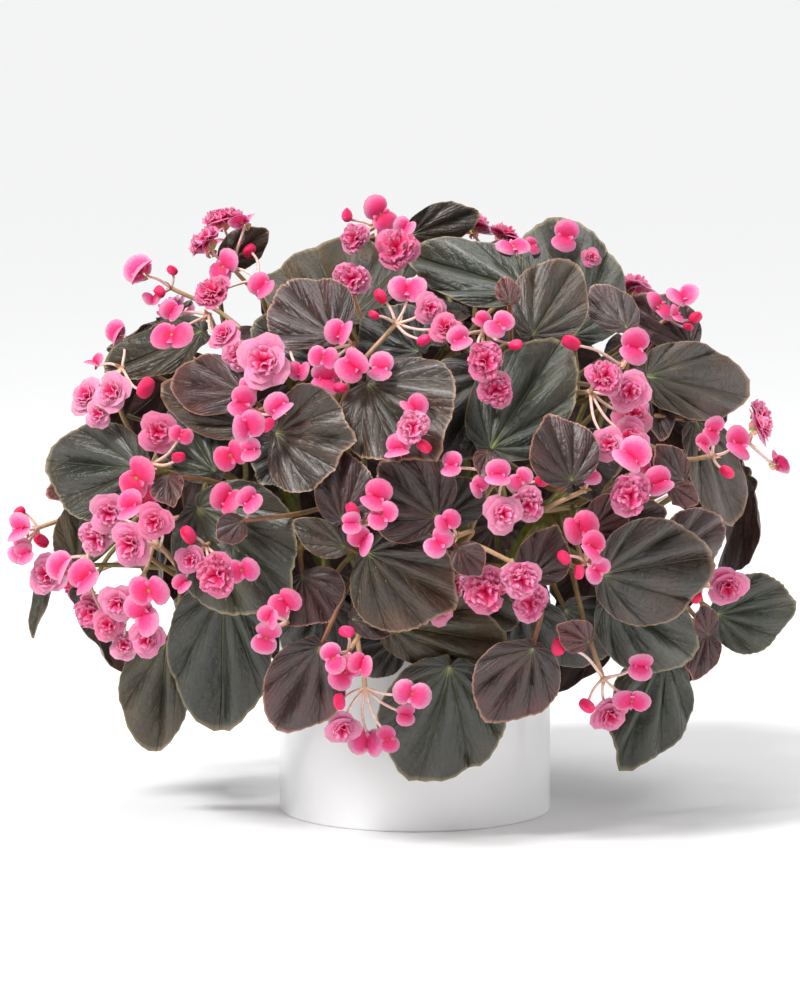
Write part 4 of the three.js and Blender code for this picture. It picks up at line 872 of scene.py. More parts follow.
def is_flower_off(blades, samples, flower):
    """Whether a flower is clear of every blade."""
    centre, facing, radius = flower["centre"], flower["facing"], flower["radius"]
    gaps = np.linalg.norm(centre_of(blades) - centre, axis=1)
    near = gaps <= reach_of(blades)[:, 0] + radius + NEAR_MARGIN
    if not near.any():
        return True
    sideways = unit(np.cross(facing, Z_AXIS))
    around = [centre + turned(sideways, facing, i * math.pi / 3) * radius for i in range(6)]
    points = np.array([centre, centre - facing * 0.55 * radius, *around])
    chosen = {name: column[near] for name, column in blades.items()}
    heights = height_over(chosen, points[None], FLOWER_CLEARANCE)
    above = np.where(np.isnan(heights), True, heights > FLOWER_CLEARANCE).all(axis=1)
    below = np.where(np.isnan(heights), True, heights < -FLOWER_CLEARANCE).all(axis=1)
    if not (above | below).all():
        return False
    return bool((np.linalg.norm(samples[near] - centre, axis=2) > 0.85 * radius).all())


def from_pedicel(hub, centre, point):
    """How far a point is from the pedicel between a hub and a flower's centre."""
    way = centre - hub
    share = min(1, max(0, (point - hub) @ way / (way @ way)))
    return np.linalg.norm(hub + way * share - point)


def is_clear(flower, spray, blades, samples, centres, radii):
    """Whether a flower is clear of the pot, its hub, the other flowers, their pedicels and the leaves."""
    centre, radius, hub = flower["centre"], flower["radius"], spray["hub"]
    if is_in_pot(centre, 0.8 * radius + POT_CLEARANCE) or math.dist(centre, hub) < radius + HUB_ROOM:
        return False
    if (np.linalg.norm(centres - centre, axis=1) <= 0.95 * (radii + radius)).any():
        return False
    for other in spray["flowers"]:
        if other is flower:
            continue
        if from_pedicel(hub, other["centre"], centre) <= radius + 1:
            return False
        if from_pedicel(hub, centre, other["centre"]) <= other["radius"] + 1:
            return False
    return is_flower_off(blades, samples, flower)


def settle_flower(flower, way, spray, blades, samples, sprays):
    """Moves a new flower out and in until it is clear of the leaves and of the other flowers."""
    start = flower["centre"]
    others = [other for each in sprays for other in each["flowers"] if other is not flower]
    centres = np.array([other["centre"] for other in others]).reshape(-1, 3)
    radii = np.array([other["radius"] for other in others])
    for _ in range(SETTLE_SIZES):
        for step in range(SETTLE_STEPS):
            flower["centre"] = start + way * ((-0.5 if step % 3 == 2 else 1) * SETTLE_STEP * step)
            if is_clear(flower, spray, blades, samples, centres, radii):
                return
        flower["radius"] *= SETTLE_SHRINK


def make_flower(kind, width, centre, outwards, towards):
    facing = outwards * FACING_OUTWARDS + towards * FACING_TOWARDS
    facing = facing + np.array([draw(*limits) for limits in FACING_STRAYS])
    return {
        "kind": kind,
        "radius": width / 2,
        "centre": centre,
        "facing": unit(facing),
        "turn": draw(0, math.pi),
    }


def seen_sprays(blades, samples):
    """The sprays that are seen. Their outermost flowers are placed first."""
    sprays = []
    for hub, deep, flowers in SPRAYS:
        spray = {"hub": on_dome(hub, HUB_INSET + DEEP_HUB * deep), "flowers": []}
        sprays.append(spray)
        for kind, place, width in sorted(flowers, key=lambda row: -math.dist(row[1], hub)):
            centre = on_dome(place, DEEP_FLOWER if deep else 0)
            flower = make_flower(kind, width, centre, dome_normal(centre), TO_VIEWER)
            spray["flowers"].append(flower)
            settle_flower(flower, TO_VIEWER, spray, blades, samples, sprays)
    return sprays


BACK_SPRAYS, BACK_SPREAD, BACK_INSET = 10, 17, -8
BACK_WIDTHS = {"double": 22, "single": 17, "bud": 10}
BACK_FROM, BACK_ROUND, BACK_TOP, BACK_DROP = -8, 196, 68, 86


def add_back_sprays(blades, samples, sprays):
    """Adds the sprays round the back, evenly spread from the top down."""
    for i in range(BACK_SPRAYS):
        azimuth = math.radians(BACK_FROM + BACK_ROUND * ((i * 0.618 + 0.31) % 1))
        rise = math.radians(BACK_TOP - BACK_DROP * ((i + 0.5) / BACK_SPRAYS))
        flat = math.cos(rise)
        direction = np.array([flat * math.cos(azimuth), flat * math.sin(azimuth), math.sin(rise)])
        place = dome_towards(direction, BACK_INSET)
        outwards = dome_normal(place)
        sideways = unit(np.cross(outwards, np.array([0.2, 0.1, 1])))
        spray = {"hub": place - outwards * HUB_INSET, "flowers": []}
        sprays.append(spray)
        count = 3 + i % 3
        for j in range(count):
            kind = "bud" if j % 5 == 4 else "single" if (i + j) % 2 else "double"
            width = BACK_WIDTHS[kind] * draw(0.9, 1.12)
            spoke = turned(sideways, outwards, (2 * math.pi * j) / count + i)
            centre = place + spoke * BACK_SPREAD * draw(0.55, 1.2)
            flower = make_flower(kind, width, centre, outwards, outwards)
            spray["flowers"].append(flower)
            settle_flower(flower, outwards, spray, blades, samples, sprays)


def bowed(start, bend, end, steps):
    """A line of points from start to end that bows towards the bend."""
    t = (np.arange(steps + 1) / steps)[:, None]
    return start * (1 - t) ** 2 + bend * (2 * (1 - t) * t) + end * t**2


def refined(line, pieces):
    """The same line with each of its parts cut into a number of pieces."""
    t = (np.arange(pieces) / pieces)[None, :, None]
    points = line[:-1, None] * (1 - t) + line[1:, None] * t
    return np.vstack([points.reshape(-1, 3), line[-1:]])


STEMS, SHOOTS, STEM_DEPTH = 9, 27, 26
STEM_RADIUS, FORK_RADIUS, SHOOT_TIP_RADIUS = 4.6, 3.6, 2.2
CROWN_MIDDLE, SHOOT_INSET = np.array([-3, 0, 152]), 62
TOP_STEM_FROM = 0.76
TOP_RISE, HIGH_RISE, LOW_RISE = 88, 48, 12
HIGH_ROOT, LOW_ROOT, HIGH_FORK, LOW_FORK = 26, 44, 62, 78


def make_stems():
    """Nine stems grow from the soil, and each forks into shoots that reach towards the dome."""
    stems = []
    for i in range(STEMS):
        is_low = i % 2 == 1
        azimuth = (2 * math.pi * i) / (STEMS - 1) + 0.3
        rise = math.radians(TOP_RISE if i == STEMS - 1 else LOW_RISE if is_low else HIGH_RISE)
        flat = np.array([math.cos(rise) * math.cos(azimuth), math.cos(rise) * math.sin(azimuth), 0])
        heading = flat + Z_AXIS * math.sin(rise)
        root = Z_AXIS * (SOIL_TOP - STEM_DEPTH) + flat * (LOW_ROOT if is_low else HIGH_ROOT)
        fork = CROWN_MIDDLE + heading * (LOW_FORK if is_low else HIGH_FORK)
        rising = root + Z_AXIS * (STEM_DEPTH + 18) + flat * 5
        stems.append({"heading": heading, "line": bowed(root, rising, fork, 4), "shoots": [], "leaves": []})
    for i in range(SHOOTS):
        direction = spiral(i, SHOOTS, -0.3)
        nearest = max(stems[:-1], key=lambda stem: stem["heading"] @ direction)
        if direction[2] > TOP_STEM_FROM:
            nearest = stems[-1]
        fork = nearest["line"][-1]
        end = dome_towards(direction, SHOOT_INSET)
        nearest["shoots"].append(bowed(fork, (fork + end) / 2 + Z_AXIS * 8, end, 3))
    return stems


# What the stalks keep clear of. Each stalk is a row of points, filled up with its last one to the same count,
# and the costs say how bad it is to meet each thing.
STALK_POINTS = 25
PETIOLE_RADIUS, PEDUNCLE_RADIUS, PEDICEL_RADIUS = 1.3, 1.3, 0.8
PETIOLE_JOINTS, PEDUNCLE_JOINTS, JOINT_ROOM, JOINT_SPACING = 6, 12, 4, 9
AIR, AT_JOINT = 1.2, 7
POT_COST, STALK_COST, FLOWER_COST, CROWD_COST = 50, 20, 3, 40
BEND_SIZES, BEND_TURNS = (0, 8, 16, 26, 38, 52), 12


class Obstacles:
    """The blades, flowers and stalks so far."""

    def __init__(self, leaves, sprays):
        self.leaves, self.sprays = list(leaves), sprays
        self.lines, self.radii, self.joints = np.zeros((0, STALK_POINTS, 3)), np.zeros(0), []
        self.flowers = [(spray, flower) for spray in sprays for flower in spray["flowers"]]
        self.centres = np.array([flower["centre"] for _, flower in self.flowers])
        self.flower_radii = np.array([flower["radius"] for _, flower in self.flowers])
        self.gather()

    def gather(self):
        self.blades = gathered(self.leaves)
        self.samples = np.array([blade_samples(leaf) for leaf in self.leaves])

    def add_stalk(self, line, radius):
        padded = np.vstack([line, np.repeat(line[-1:], STALK_POINTS - len(line), axis=0)])
        self.lines = np.concatenate([self.lines, padded[None]])
        self.radii = np.append(self.radii, radius)

    def crossed_blades(self, paths, radius, own):
        """For each path, how often it crosses a blade."""
        blades = self.blades
        rows, steps = paths.shape[:2]
        flat = paths.reshape(-1, 3)
        gaps = np.linalg.norm(centre_of(blades)[:, None] - flat[None], axis=2)
        near = gaps < reach_of(blades) + NEAR_MARGIN
        wanted = near.any(axis=1)
        if not wanted.any():
            return np.zeros(rows, int)
        chosen = {name: column[wanted] for name, column in blades.items()}
        heights = np.where(near[wanted], height_over(chosen, flat[None], radius + 1), np.nan)
        if own is not None:
            own_row = np.flatnonzero([self.leaves[i] is own for i in np.flatnonzero(wanted)])
            at_base = np.linalg.norm(flat - own["base"], axis=1) < AT_JOINT
            heights[np.ix_(own_row, np.flatnonzero(at_base))] = np.nan
        heights = heights.reshape(-1, rows, steps)
        met = np.abs(heights) < radius + AIR
        met[:, :, 1:] |= heights[:, :, 1:] * heights[:, :, :-1] < 0
        return met.sum(axis=(0, 2))

    def crossings(self, paths, radius, own_leaf, own_spray):
        """For each path of points, how much it gets in the way of the pot, stalks, flowers and blades."""
        counts = POT_COST * is_in_pot(paths, radius + 1).sum(axis=1)
        flat = paths.reshape(-1, 3)
        middle = (np.nanmin(flat, axis=0) + np.nanmax(flat, axis=0)) / 2
        reach = np.nanmax(np.linalg.norm(flat - middle, axis=1)) + radius + 7
        near = (np.linalg.norm(self.lines - middle, axis=2) < reach + STEM_RADIUS).any(axis=1)
        lines, radii = self.lines[near], self.radii[near]
        if len(lines):
            squares = (flat**2).sum(axis=1)[:, None] + (lines**2).sum(axis=2).reshape(1, -1)
            squares = squares - 2 * flat @ lines.reshape(-1, 3).T
            limit = np.repeat((radius + radii + AIR) ** 2, STALK_POINTS)
            touched = (squares < limit).reshape(len(flat), -1, STALK_POINTS).any(axis=2).sum(axis=1)
            counts = counts + STALK_COST * touched.reshape(paths.shape[:2]).sum(axis=1)
        others = np.array([spray is not own_spray for spray, _ in self.flowers])
        gaps = np.linalg.norm(flat[:, None] - self.centres[None, others], axis=2)
        touched = (gaps < self.flower_radii[others] * 0.9 + radius + 0.5).sum(axis=1)
        counts = counts + FLOWER_COST * touched.reshape(paths.shape[:2]).sum(axis=1)
        return counts + self.crossed_blades(paths, radius, own_leaf)


def best_path(shoots, end, behind, bend_to, radius, joints, obstacles, own_leaf=None, own_spray=None):
    """The clearest of many bends, from the nearest joints on the shoots."""
    points, stems = shoots
    taken = np.array(obstacles.joints).reshape(-1, 3)
    crowd = (np.linalg.norm(points[:, None] - taken, axis=2) < JOINT_ROOM).sum(axis=1)
    wrong_side = np.maximum(0, (points - end) @ behind)
    costs = np.linalg.norm(points - end, axis=1) + 0.5 * wrong_side + CROWD_COST * crowd
    chosen = []
    for i in np.argsort(costs, kind="stable"):
        if len(chosen) < joints and all(math.dist(points[k], points[i]) > JOINT_SPACING for k in chosen):
            chosen.append(i)
    best = None
    for i in chosen:
        joint_cost, point, stem = costs[i], points[i], stems[i]
        chord = unit(end - point)
        sideways = unit(np.cross(chord, np.array([0.31, 0.17, 0.93])))
        bend = bend_to(point)
        for size in BEND_SIZES:
            turns = [k * math.pi / 6 + size for k in range(BEND_TURNS if size else 1)]
            shifts = [turned(sideways, chord, turn) * size for turn in turns]
            lines = [bowed(point, bend + shift, end, 2) for shift in shifts]
            paths = np.array([refined(line, 10) for line in lines])
            paths[np.linalg.norm(paths - point, axis=2) <= AT_JOINT] = np.nan
            counts = obstacles.crossings(paths, radius, own_leaf, own_spray)
            cost = 0.02 * (joint_cost + size)
            for line, count in zip(lines, counts):
                if best is None or count + cost < best["total"]:
                    best = {"total": count + cost, "count": count, "line": line, "stem": stem}
                if count == 0:
                    return best
    return best


def petiole_of(leaf, shoots, obstacles):
    """The clearest way for a petiole, which meets its leaf from behind and below."""
    def bend_to(point):
        length = math.dist(leaf["base"], point)
        return leaf["base"] - leaf["midrib"] * (0.25 * length) - leaf["upper"] * (0.35 * length)

    search = (leaf["base"], leaf["upper"], bend_to, PETIOLE_RADIUS, PETIOLE_JOINTS)
    return best_path(shoots, *search, obstacles, own_leaf=leaf)


def attach_leaf(leaf, path, obstacles):
    obstacles.joints.append(path["line"][0])
    obstacles.add_stalk(refined(path["line"], 6), PETIOLE_RADIUS)
    leaf["petiole"] = path["line"]
    path["stem"]["leaves"].append(leaf)


def attach_spray(spray, shoots, obstacles):
    """Grows a spray's peduncle, and counts its pedicels among what later stalks keep clear of."""
    hub = spray["hub"]
    spray["heading"] = unit(sum(unit(flower["centre"] - hub) for flower in spray["flowers"]))

    def bend_to(point):
        return hub - spray["heading"] * (0.45 * math.dist(point, hub))

    search = (hub, dome_normal(hub), bend_to, PEDUNCLE_RADIUS, PEDUNCLE_JOINTS)
    path = best_path(shoots, *search, obstacles, own_spray=spray)
    obstacles.joints.append(path["line"][0])
    obstacles.add_stalk(refined(path["line"], 6), PEDUNCLE_RADIUS)
    spray["peduncle"] = path["line"]
    for flower in spray["flowers"]:
        obstacles.add_stalk(refined(np.array([hub, flower["centre"]]), 12), PEDICEL_RADIUS)


TONES = ("bronze", "green", "bronze", "purple", "olive", "bronze", "green")
FRONT_EDGE, DEEPEST, SECOND_TRY = -0.36, 100, 0.78
BASE_SHARE, TIP_SHARE, BASE_SINK, TIP_LIFT, HIDDEN_WIDTH = 0.46, 0.54, 4, 3, 0.94
BACK_LEAVES = {"rule": 120, "lowest": -0.62, "room": 34, "insets": (6, 26), "smallest": 64, "largest": 84}
INNER_LEAVES = {"rule": 30, "lowest": -0.5, "room": 22, "insets": (36, 48), "smallest": 50, "largest": 68}


def add_leaf_at(direction, outwards, downhill, room, inset, form, look, width, shoots, obstacles):
    """Adds a leaf where its blade and petiole are clear, or further in. True if there was room."""
    while inset < DEEPEST:
        middle = dome_towards(direction, inset)
        inset += 2 * SLIDE
        base = middle - downhill * (BASE_SHARE * width) - outwards * BASE_SINK
        tip = middle + downhill * (TIP_SHARE * width) + outwards * TIP_LIFT
        leaf = {**leaf_on(base, tip, outwards + Z_AXIS * 0.25, width * HIDDEN_WIDTH, 0, form), **look}
        if not is_clear_of_pot(leaf) or not is_apart(leaf, obstacles.blades, room):
            continue
        blade, samples = gathered([leaf]), blade_samples(leaf)[None]
        away = np.linalg.norm(obstacles.centres - centre_of(leaf), axis=1) - obstacles.flower_radii
        close = np.flatnonzero(away <= reach_of(leaf) + NEAR_MARGIN)
        if not all(is_flower_off(blade, samples, obstacles.flowers[i][1]) for i in close):
            continue
        gaps = np.linalg.norm(obstacles.lines - centre_of(leaf), axis=2)
        margins = obstacles.radii[:, None]
        allowance = np.repeat(obstacles.radii + 1, STALK_POINTS)
        heights = height_over(blade, obstacles.lines.reshape(1, -1, 3), allowance).reshape(-1, STALK_POINTS)
        heights = np.where(gaps < reach_of(leaf) + NEAR_MARGIN, heights, np.nan)
        met = np.abs(heights) < margins + AIR
        met[:, 1:] |= heights[:, 1:] * heights[:, :-1] < 0
        if met.any():
            continue
        path = petiole_of(leaf, shoots, obstacles)
        if path["count"]:
            continue
        attach_leaf(leaf, path, obstacles)
        obstacles.leaves.append(leaf)
        obstacles.gather()
        return True
    return False


def add_hidden_leaves(rule, lowest, room, insets, smallest, largest, in_front, shoots, obstacles):
    """Adds the leaves out of sight, on an even spiral over the dome, wherever there is room."""
    for i in range(rule):
        direction = spiral(i, rule, lowest)
        if (direction[1] < FRONT_EDGE) != in_front:
            continue
        outwards = dome_normal(dome_towards(direction, 0))
        downhill = unit(outwards * outwards[2] - Z_AXIS)
        downhill = turned(downhill, outwards, draw(-0.7, 0.7) * (1 + 2 * max(0, direction[2])))
        width = draw(smallest, largest)
        # Hidden leaves inside the dome's front take the near-black tone, which is painted shade.
        look = {"tone": "dark" if in_front else TONES[i % len(TONES)], "hidden": True}
        place = (direction, outwards, downhill, room, insets[i % 2], leaf_form(), look)
        for size in (width, SECOND_TRY * width):
            if add_leaf_at(*place, size, shoots, obstacles):
                break


def grow_plant():
    leaves = seen_leaves()
    blades, samples = gathered(leaves), np.array([blade_samples(leaf) for leaf in leaves])
    sprays = seen_sprays(blades, samples)
    add_back_sprays(blades, samples, sprays)
    stems = make_stems()
    obstacles = Obstacles(leaves, sprays)
    forks = [(stem, line) for stem in stems for line in stem["shoots"]]
    places = [(stem, point) for stem, line in forks for point in refined(line, 7)[2:]]
    shoots = np.array([point for _, point in places]), [stem for stem, _ in places]
    for stem in stems:
        obstacles.add_stalk(refined(stem["line"], 6), STEM_RADIUS)
    for _, line in forks:
        obstacles.add_stalk(refined(line, 5), FORK_RADIUS)
    for spray in sprays:
        attach_spray(spray, shoots, obstacles)
    for leaf in leaves:
        attach_leaf(leaf, petiole_of(leaf, shoots, obstacles), obstacles)
    add_hidden_leaves(**BACK_LEAVES, in_front=False, shoots=shoots, obstacles=obstacles)
    add_hidden_leaves(**INNER_LEAVES, in_front=True, shoots=shoots, obstacles=obstacles)
    return stems, sprays


stems, sprays = grow_plant()

# The stems: nine fleshy green ones rise from holes in the soil and fork into shoots. At each joint a petiole
# grows out between papery pale stipules and reddens towards its leaf. It is all one living piece.
STALK_SIDES = 10
STEM_STEPS, SHOOT_STEPS, PETIOLE_STEPS = 7, 8, 9
KNOT_SPACING, KNOT_SWELL = 19, 0.16
PETIOLE_FOOT, PETIOLE_END = 1.75, 1.25
STIPULE_LENGTH, STIPULE_WIDTH, STIPULE_THICKNESS = 8.5, 5.2, 0.35
SMALL_GRID = (5, 5)


def smoothed(line, steps):
    """A smooth line through the points, with a number of steps between each two."""
    points = np.vstack([2 * line[0] - line[1], line, 2 * line[-1] - line[-2]])
    t = (np.arange(steps) / steps)[:, None]
    pieces = []
    for a, b, c, d in zip(points, points[1:], points[2:], points[3:]):
        slopes = (c - a) / 2, (d - b) / 2
        rise = b + slopes[0] * t + (3 * (c - b) - 2 * slopes[0] - slopes[1]) * t**2
        pieces.append(rise + (2 * (b - c) + slopes[0] + slopes[1]) * t**3)
    return np.vstack([*pieces, line[-1:]])


def thread(line, steps, start_radius, end_radius, start_tint, end_tint, knots=False):
    """A stalk's course with its radius and tint at every point."""
    points = smoothed(np.asarray(line), steps)
    along = np.linspace(0, 1, len(points))
    radius = start_radius + (end_radius - start_radius) * along
    if knots:
        run = np.concatenate([[0], np.cumsum(np.linalg.norm(np.diff(points, axis=0), axis=1))])
        radius = radius * (1 + KNOT_SWELL * np.exp(-(((run % KNOT_SPACING) - 5) ** 2) / 4))
    return points, radius, start_tint + (end_tint - start_tint) * along


def write_numbers(mesh, label, values, kind="FLOAT", field="value"):
    """Gives each point of the mesh its own number, vector or colour."""
    mesh.attributes.new(label, kind, "POINT").data.foreach_set(field, values)


def threads_mesh(name, threads):
    """A mesh of bare edges along the threads, for the stalk tree to give them their thickness."""
    mesh = bpy.data.meshes.new(name)
    edges, count = [], 0
    for points, _, _ in threads:
        edges += [(count + i, count + i + 1) for i in range(len(points) - 1)]
        count += len(points)
    mesh.from_pydata(np.vstack([points for points, _, _ in threads]) * MM, edges, [])
    write_numbers(mesh, "thickness", np.concatenate([radius * MM for _, radius, _ in threads]))
    write_numbers(mesh, "tint", np.concatenate([tint for _, _, tint in threads]))
    return mesh


def named(tree, label, kind="FLOAT"):
    """The points' own numbers, read in a Geometry Nodes tree."""
    made = add_node(tree, "GeometryNodeInputNamedAttribute", {"Name": label}, data_type=kind)
    return made.outputs["Attribute"]


stalk_tree, given = new_tree("fleshy_stalks", ("Sides", "Int"), ("Finish", "Material"))
course = add_node(stalk_tree, "GeometryNodeMeshToCurve", {"Mesh": given["Geometry"]}).outputs[0]
sockets = {"Resolution": given["Sides"], "Radius": 1.0}
section = add_node(stalk_tree, "GeometryNodeCurvePrimitiveCircle", sockets)
sockets = {
    "Curve": course,
    "Profile Curve": section.outputs[0],
    "Scale": named(stalk_tree, "thickness"),
    "Fill Caps": True,
}
tube = add_node(stalk_tree, "GeometryNodeCurveToMesh", sockets)
close_tree(stalk_tree, tube.outputs[0], given["Finish"])


def attribute(tree, label, output="Fac"):
    """The points' own numbers, read in a material."""
    return add_node(tree, "ShaderNodeAttribute", attribute_name=label).outputs[output]


STEM_COLOURS = (0, (0.24, 0.3, 0.06)), (0.45, (0.26, 0.2, 0.06)), (1, (0.25, 0.065, 0.04))
STEM_MOTTLE = (0.3, (0.55, 0.5, 0.45)), (0.7, (1.15, 1.15, 1.1))
stem_finish, tree, shader = new_material(
    "fleshy_begonia_stem",
    Roughness=0.36,
    Subsurface_Weight=0.12,
    Subsurface_Scale=0.003,
    Coat_Weight=0.15,
)
mottle = noise(tree, 240, detail=4)
tinted = ramp(tree, attribute(tree, "tint"), *STEM_COLOURS)
feed(shader, "Base Color", mixed(tree, 0.7, tinted, ramp(tree, mottle, *STEM_MOTTLE), "MULTIPLY"))
add_bump(tree, shader, mottle, 0.0004, 0.6)


def grid_quads(grid):
    """Four-cornered faces between the points of a grid."""
    corners = grid[:-1, :-1], grid[:-1, 1:], grid[1:, 1:], grid[1:, :-1]
    return np.stack(corners, axis=-1).reshape(-1, 4)


def lens_faces(rows, columns):
    """Faces of a closed lens: two grids of points with one rim, the second without the rim's points."""
    front = np.arange(rows * columns).reshape(rows, columns)
    back = front.copy()
    inner = (rows - 2) * (columns - 2)
    back[1:-1, 1:-1] = rows * columns + np.arange(inner).reshape(rows - 2, columns - 2)
    return np.vstack([grid_quads(front), grid_quads(back)[:, ::-1]])


def lens_points(points, thickness):
    """Points of a closed lens about a grid of points, which keeps its rim thin."""
    along, across = np.gradient(points, axis=0), np.gradient(points, axis=1)
    normal = np.cross(across, along)
    normal /= np.maximum(np.linalg.norm(normal, axis=-1, keepdims=True), 1e-9)
    rows, columns = points.shape[:2]
    swell = np.sin(np.linspace(0, math.pi, rows))[:, None] ** 0.5
    swell = swell * np.sin(np.linspace(0, math.pi, columns)) ** 0.5
    shift = normal * (thickness / 2 * swell)[..., None]
    front, back = points + shift, (points - shift)[1:-1, 1:-1]
    return np.vstack([front.reshape(-1, 3), back.reshape(-1, 3)])


def petal_grid(length, width, rows, columns, shape=0.75, cup=0.0, curl=0.0, ruffle=0.0, waves=3, phase=0.0):
    """A petal along +Y, hollow towards +Z, widest at shape, or near its base where shape is under 0.5."""
    v = np.linspace(0, 1, rows)[:, None]
    u = np.linspace(-1, 1, columns)[None, :]
    if shape < 0.5:
        half = width / 2 * np.sin(math.pi * np.clip(v * 0.5 / shape, 0, 1) ** shape)
    else:
        past_widest = np.clip(v - shape, 0, 1) / (1.02 - shape)
        half = width / 2 * np.clip(v / shape, 0, 1) ** 0.6 * np.sqrt(np.clip(1 - past_widest**2, 0, 1))
    x = half * u
    y = length * v * (1 - 0.06 * u**2)
    z = cup * width * (x / (width / 2)) ** 2 + curl * length * v**2
    z = z + ruffle * width * v**3 * np.sin(waves * math.pi * u + phase)
    return np.stack([x + 0 * y, y + 0 * x, z], axis=-1)


def on_seats(name, seats, forms, finish):
    """A form on each seat, turned and sized as it says. A seat is place, axes, size, form and tint."""
    holder = bpy.data.collections.new(name + "_forms")
    for i, mesh in enumerate(forms):
        holder.objects.link(bpy.data.objects.new(f"{name}_form_{i}", mesh))
    mesh = bpy.data.meshes.new(name)
    mesh.from_pydata(np.array([seat[0] for seat in seats]) * MM, [], [])
    turns = [Matrix(np.array(seat[1]).T.tolist()).to_euler() for seat in seats]
    write_numbers(mesh, "turning", np.array(turns).ravel(), "FLOAT_VECTOR", "vector")
    write_numbers(mesh, "size", [seat[2] for seat in seats])
    write_numbers(mesh, "tint", [seat[4] for seat in seats])
    write_numbers(mesh, "form", [seat[3] for seat in seats], "INT")
    piece = show(name, mesh)
    grown(piece, seat_tree, Forms=holder, Finish=finish)
    for form in list(holder.objects):
        bpy.data.objects.remove(form)
    bpy.data.collections.remove(holder)
    return piece


seat_tree, given = new_tree("forms_on_seats", ("Forms", "Collection"), ("Finish", "Material"))
sockets = {"Collection": given["Forms"], "Separate Children": True, "Reset Children": True}
forms = add_node(seat_tree, "GeometryNodeCollectionInfo", sockets).outputs[0]
sockets = {
    "Points": given["Geometry"],
    "Instance": forms,
    "Pick Instance": True,
    "Instance Index": named(seat_tree, "form", "INT"),
    "Rotation": named(seat_tree, "turning", "FLOAT_VECTOR"),
    "Scale": named(seat_tree, "size"),
}
seated = add_node(seat_tree, "GeometryNodeInstanceOnPoints", sockets).outputs[0]
close_tree(seat_tree, seated, given["Finish"])

stipule = petal_grid(STIPULE_LENGTH, STIPULE_WIDTH, *SMALL_GRID, shape=0.4, cup=0.35, curl=0.12)
stipule_form = mesh_of("stipule", lens_points(stipule, STIPULE_THICKNESS), lens_faces(*SMALL_GRID))
STIPULE_COLOURS = (0, (0.2, 0.26, 0.06)), (1, (0.42, 0.3, 0.14))
stipule_finish, tree, shader = new_material(
    "papery_stipule", Roughness=0.5, Subsurface_Weight=0.2, Subsurface_Scale=0.003
)
feed(shader, "Base Color", ramp(tree, attribute(tree, "tint"), *STIPULE_COLOURS))
add_bump(tree, shader, noise(tree, 500), 0.0003)


def axes_about(axis, reference):
    """Three axes at right angles, the second along the given one and the third nearest to the reference."""
    axis = unit(axis)
    upper = unit(reference - axis * (axis @ reference))
    return [np.cross(axis, upper), axis, upper]


chance = np.random.default_rng(SEED)
stipule_seats = []
for number, stem in enumerate(stems, 1):
    threads = [thread(stem["line"], STEM_STEPS, STEM_RADIUS, FORK_RADIUS, 0.0, 0.12, knots=True)]
    for line in stem["shoots"]:
        threads.append(thread(line, SHOOT_STEPS, FORK_RADIUS, SHOOT_TIP_RADIUS, 0.12, 0.35, knots=True))
    for leaf in stem["leaves"]:
        line = leaf["petiole"].copy()
        reddening = 0.95 if leaf["tone"] in ("purple", "young", "bronze") else 0.55
        threads.append(thread(line, PETIOLE_STEPS, PETIOLE_FOOT, PETIOLE_END, 0.3, reddening))
        away = unit(line[1] - line[0])
        for side in (1, -1):
            lean = unit(away + 0.55 * side * unit(np.cross(away, DOME_MIDDLE - line[0])))
            axes = axes_about(lean, away)
            stipule_seats.append((line[0] + lean, axes, chance.uniform(0.7, 1.1), 0, chance.random()))
    shoots_piece = show(f"stem_{number}", threads_mesh(f"stem_{number}", threads))
    grown(shoots_piece, stalk_tree, Sides=STALK_SIDES, Finish=stem_finish)
    finished(shoots_piece, [f"leafy_stem_{number}"])
stipules = on_seats("stipules", stipule_seats, [stipule_form], stipule_finish)
finished(stipules, [f"leafy_stem_{number}" for number in range(1, STEMS + 1)])

# The leaves: waxy, brittle blades in dark bronze, olive and green. Palmate veins fan out from the petiole and
# are sunk between quilted bulges; the rim is finely toothed and pale. Young ones are small and dark red.
# Leaves that lie deep in the foliage are coloured near black, which is painted shade.
plant_box = np.array(cad_box) / MM
VEIN_ANGLES = np.radians([-178, -150, -116, -82, -52, -25, 0, 25, 52, 82, 116, 150, 178])
VEIN_NUMBERS = np.arange(len(VEIN_ANGLES)) - len(VEIN_ANGLES) // 2
VEIN_BEND = 0.16
QUILT_DEPTH, QUILT_RIPPLE = 0.27, 0.38
MIDRIB_FOLD, MIDRIB_WIDTH, RIM_WAVE = 0.05, 0.14, 0.045
BLADE_THICKNESS = 0.55
SINUS = 0.05
LEAF_GRIDS = {"large": (120, 9), "small": (84, 7), "hidden": (84, 7)}
SMALL_LEAF = 30
TOOTH = 0.01
DRAWN_TIP, DRAWN_WIDTH = 0.06, 0.13
TONE_COLOURS = {
    "bronze": (0.032, 0.02, 0.01),
    "green": (0.017, 0.023, 0.011),
    "purple": (0.032, 0.009, 0.009),
    "olive": (0.034, 0.028, 0.008),
    "young": (0.058, 0.004, 0.004),
    # The near-black tone is painted shade, for leaves that lie deep in the foliage.
    "dark": (0.013, 0.013, 0.008),
    "grey": (0.026, 0.027, 0.017),
}


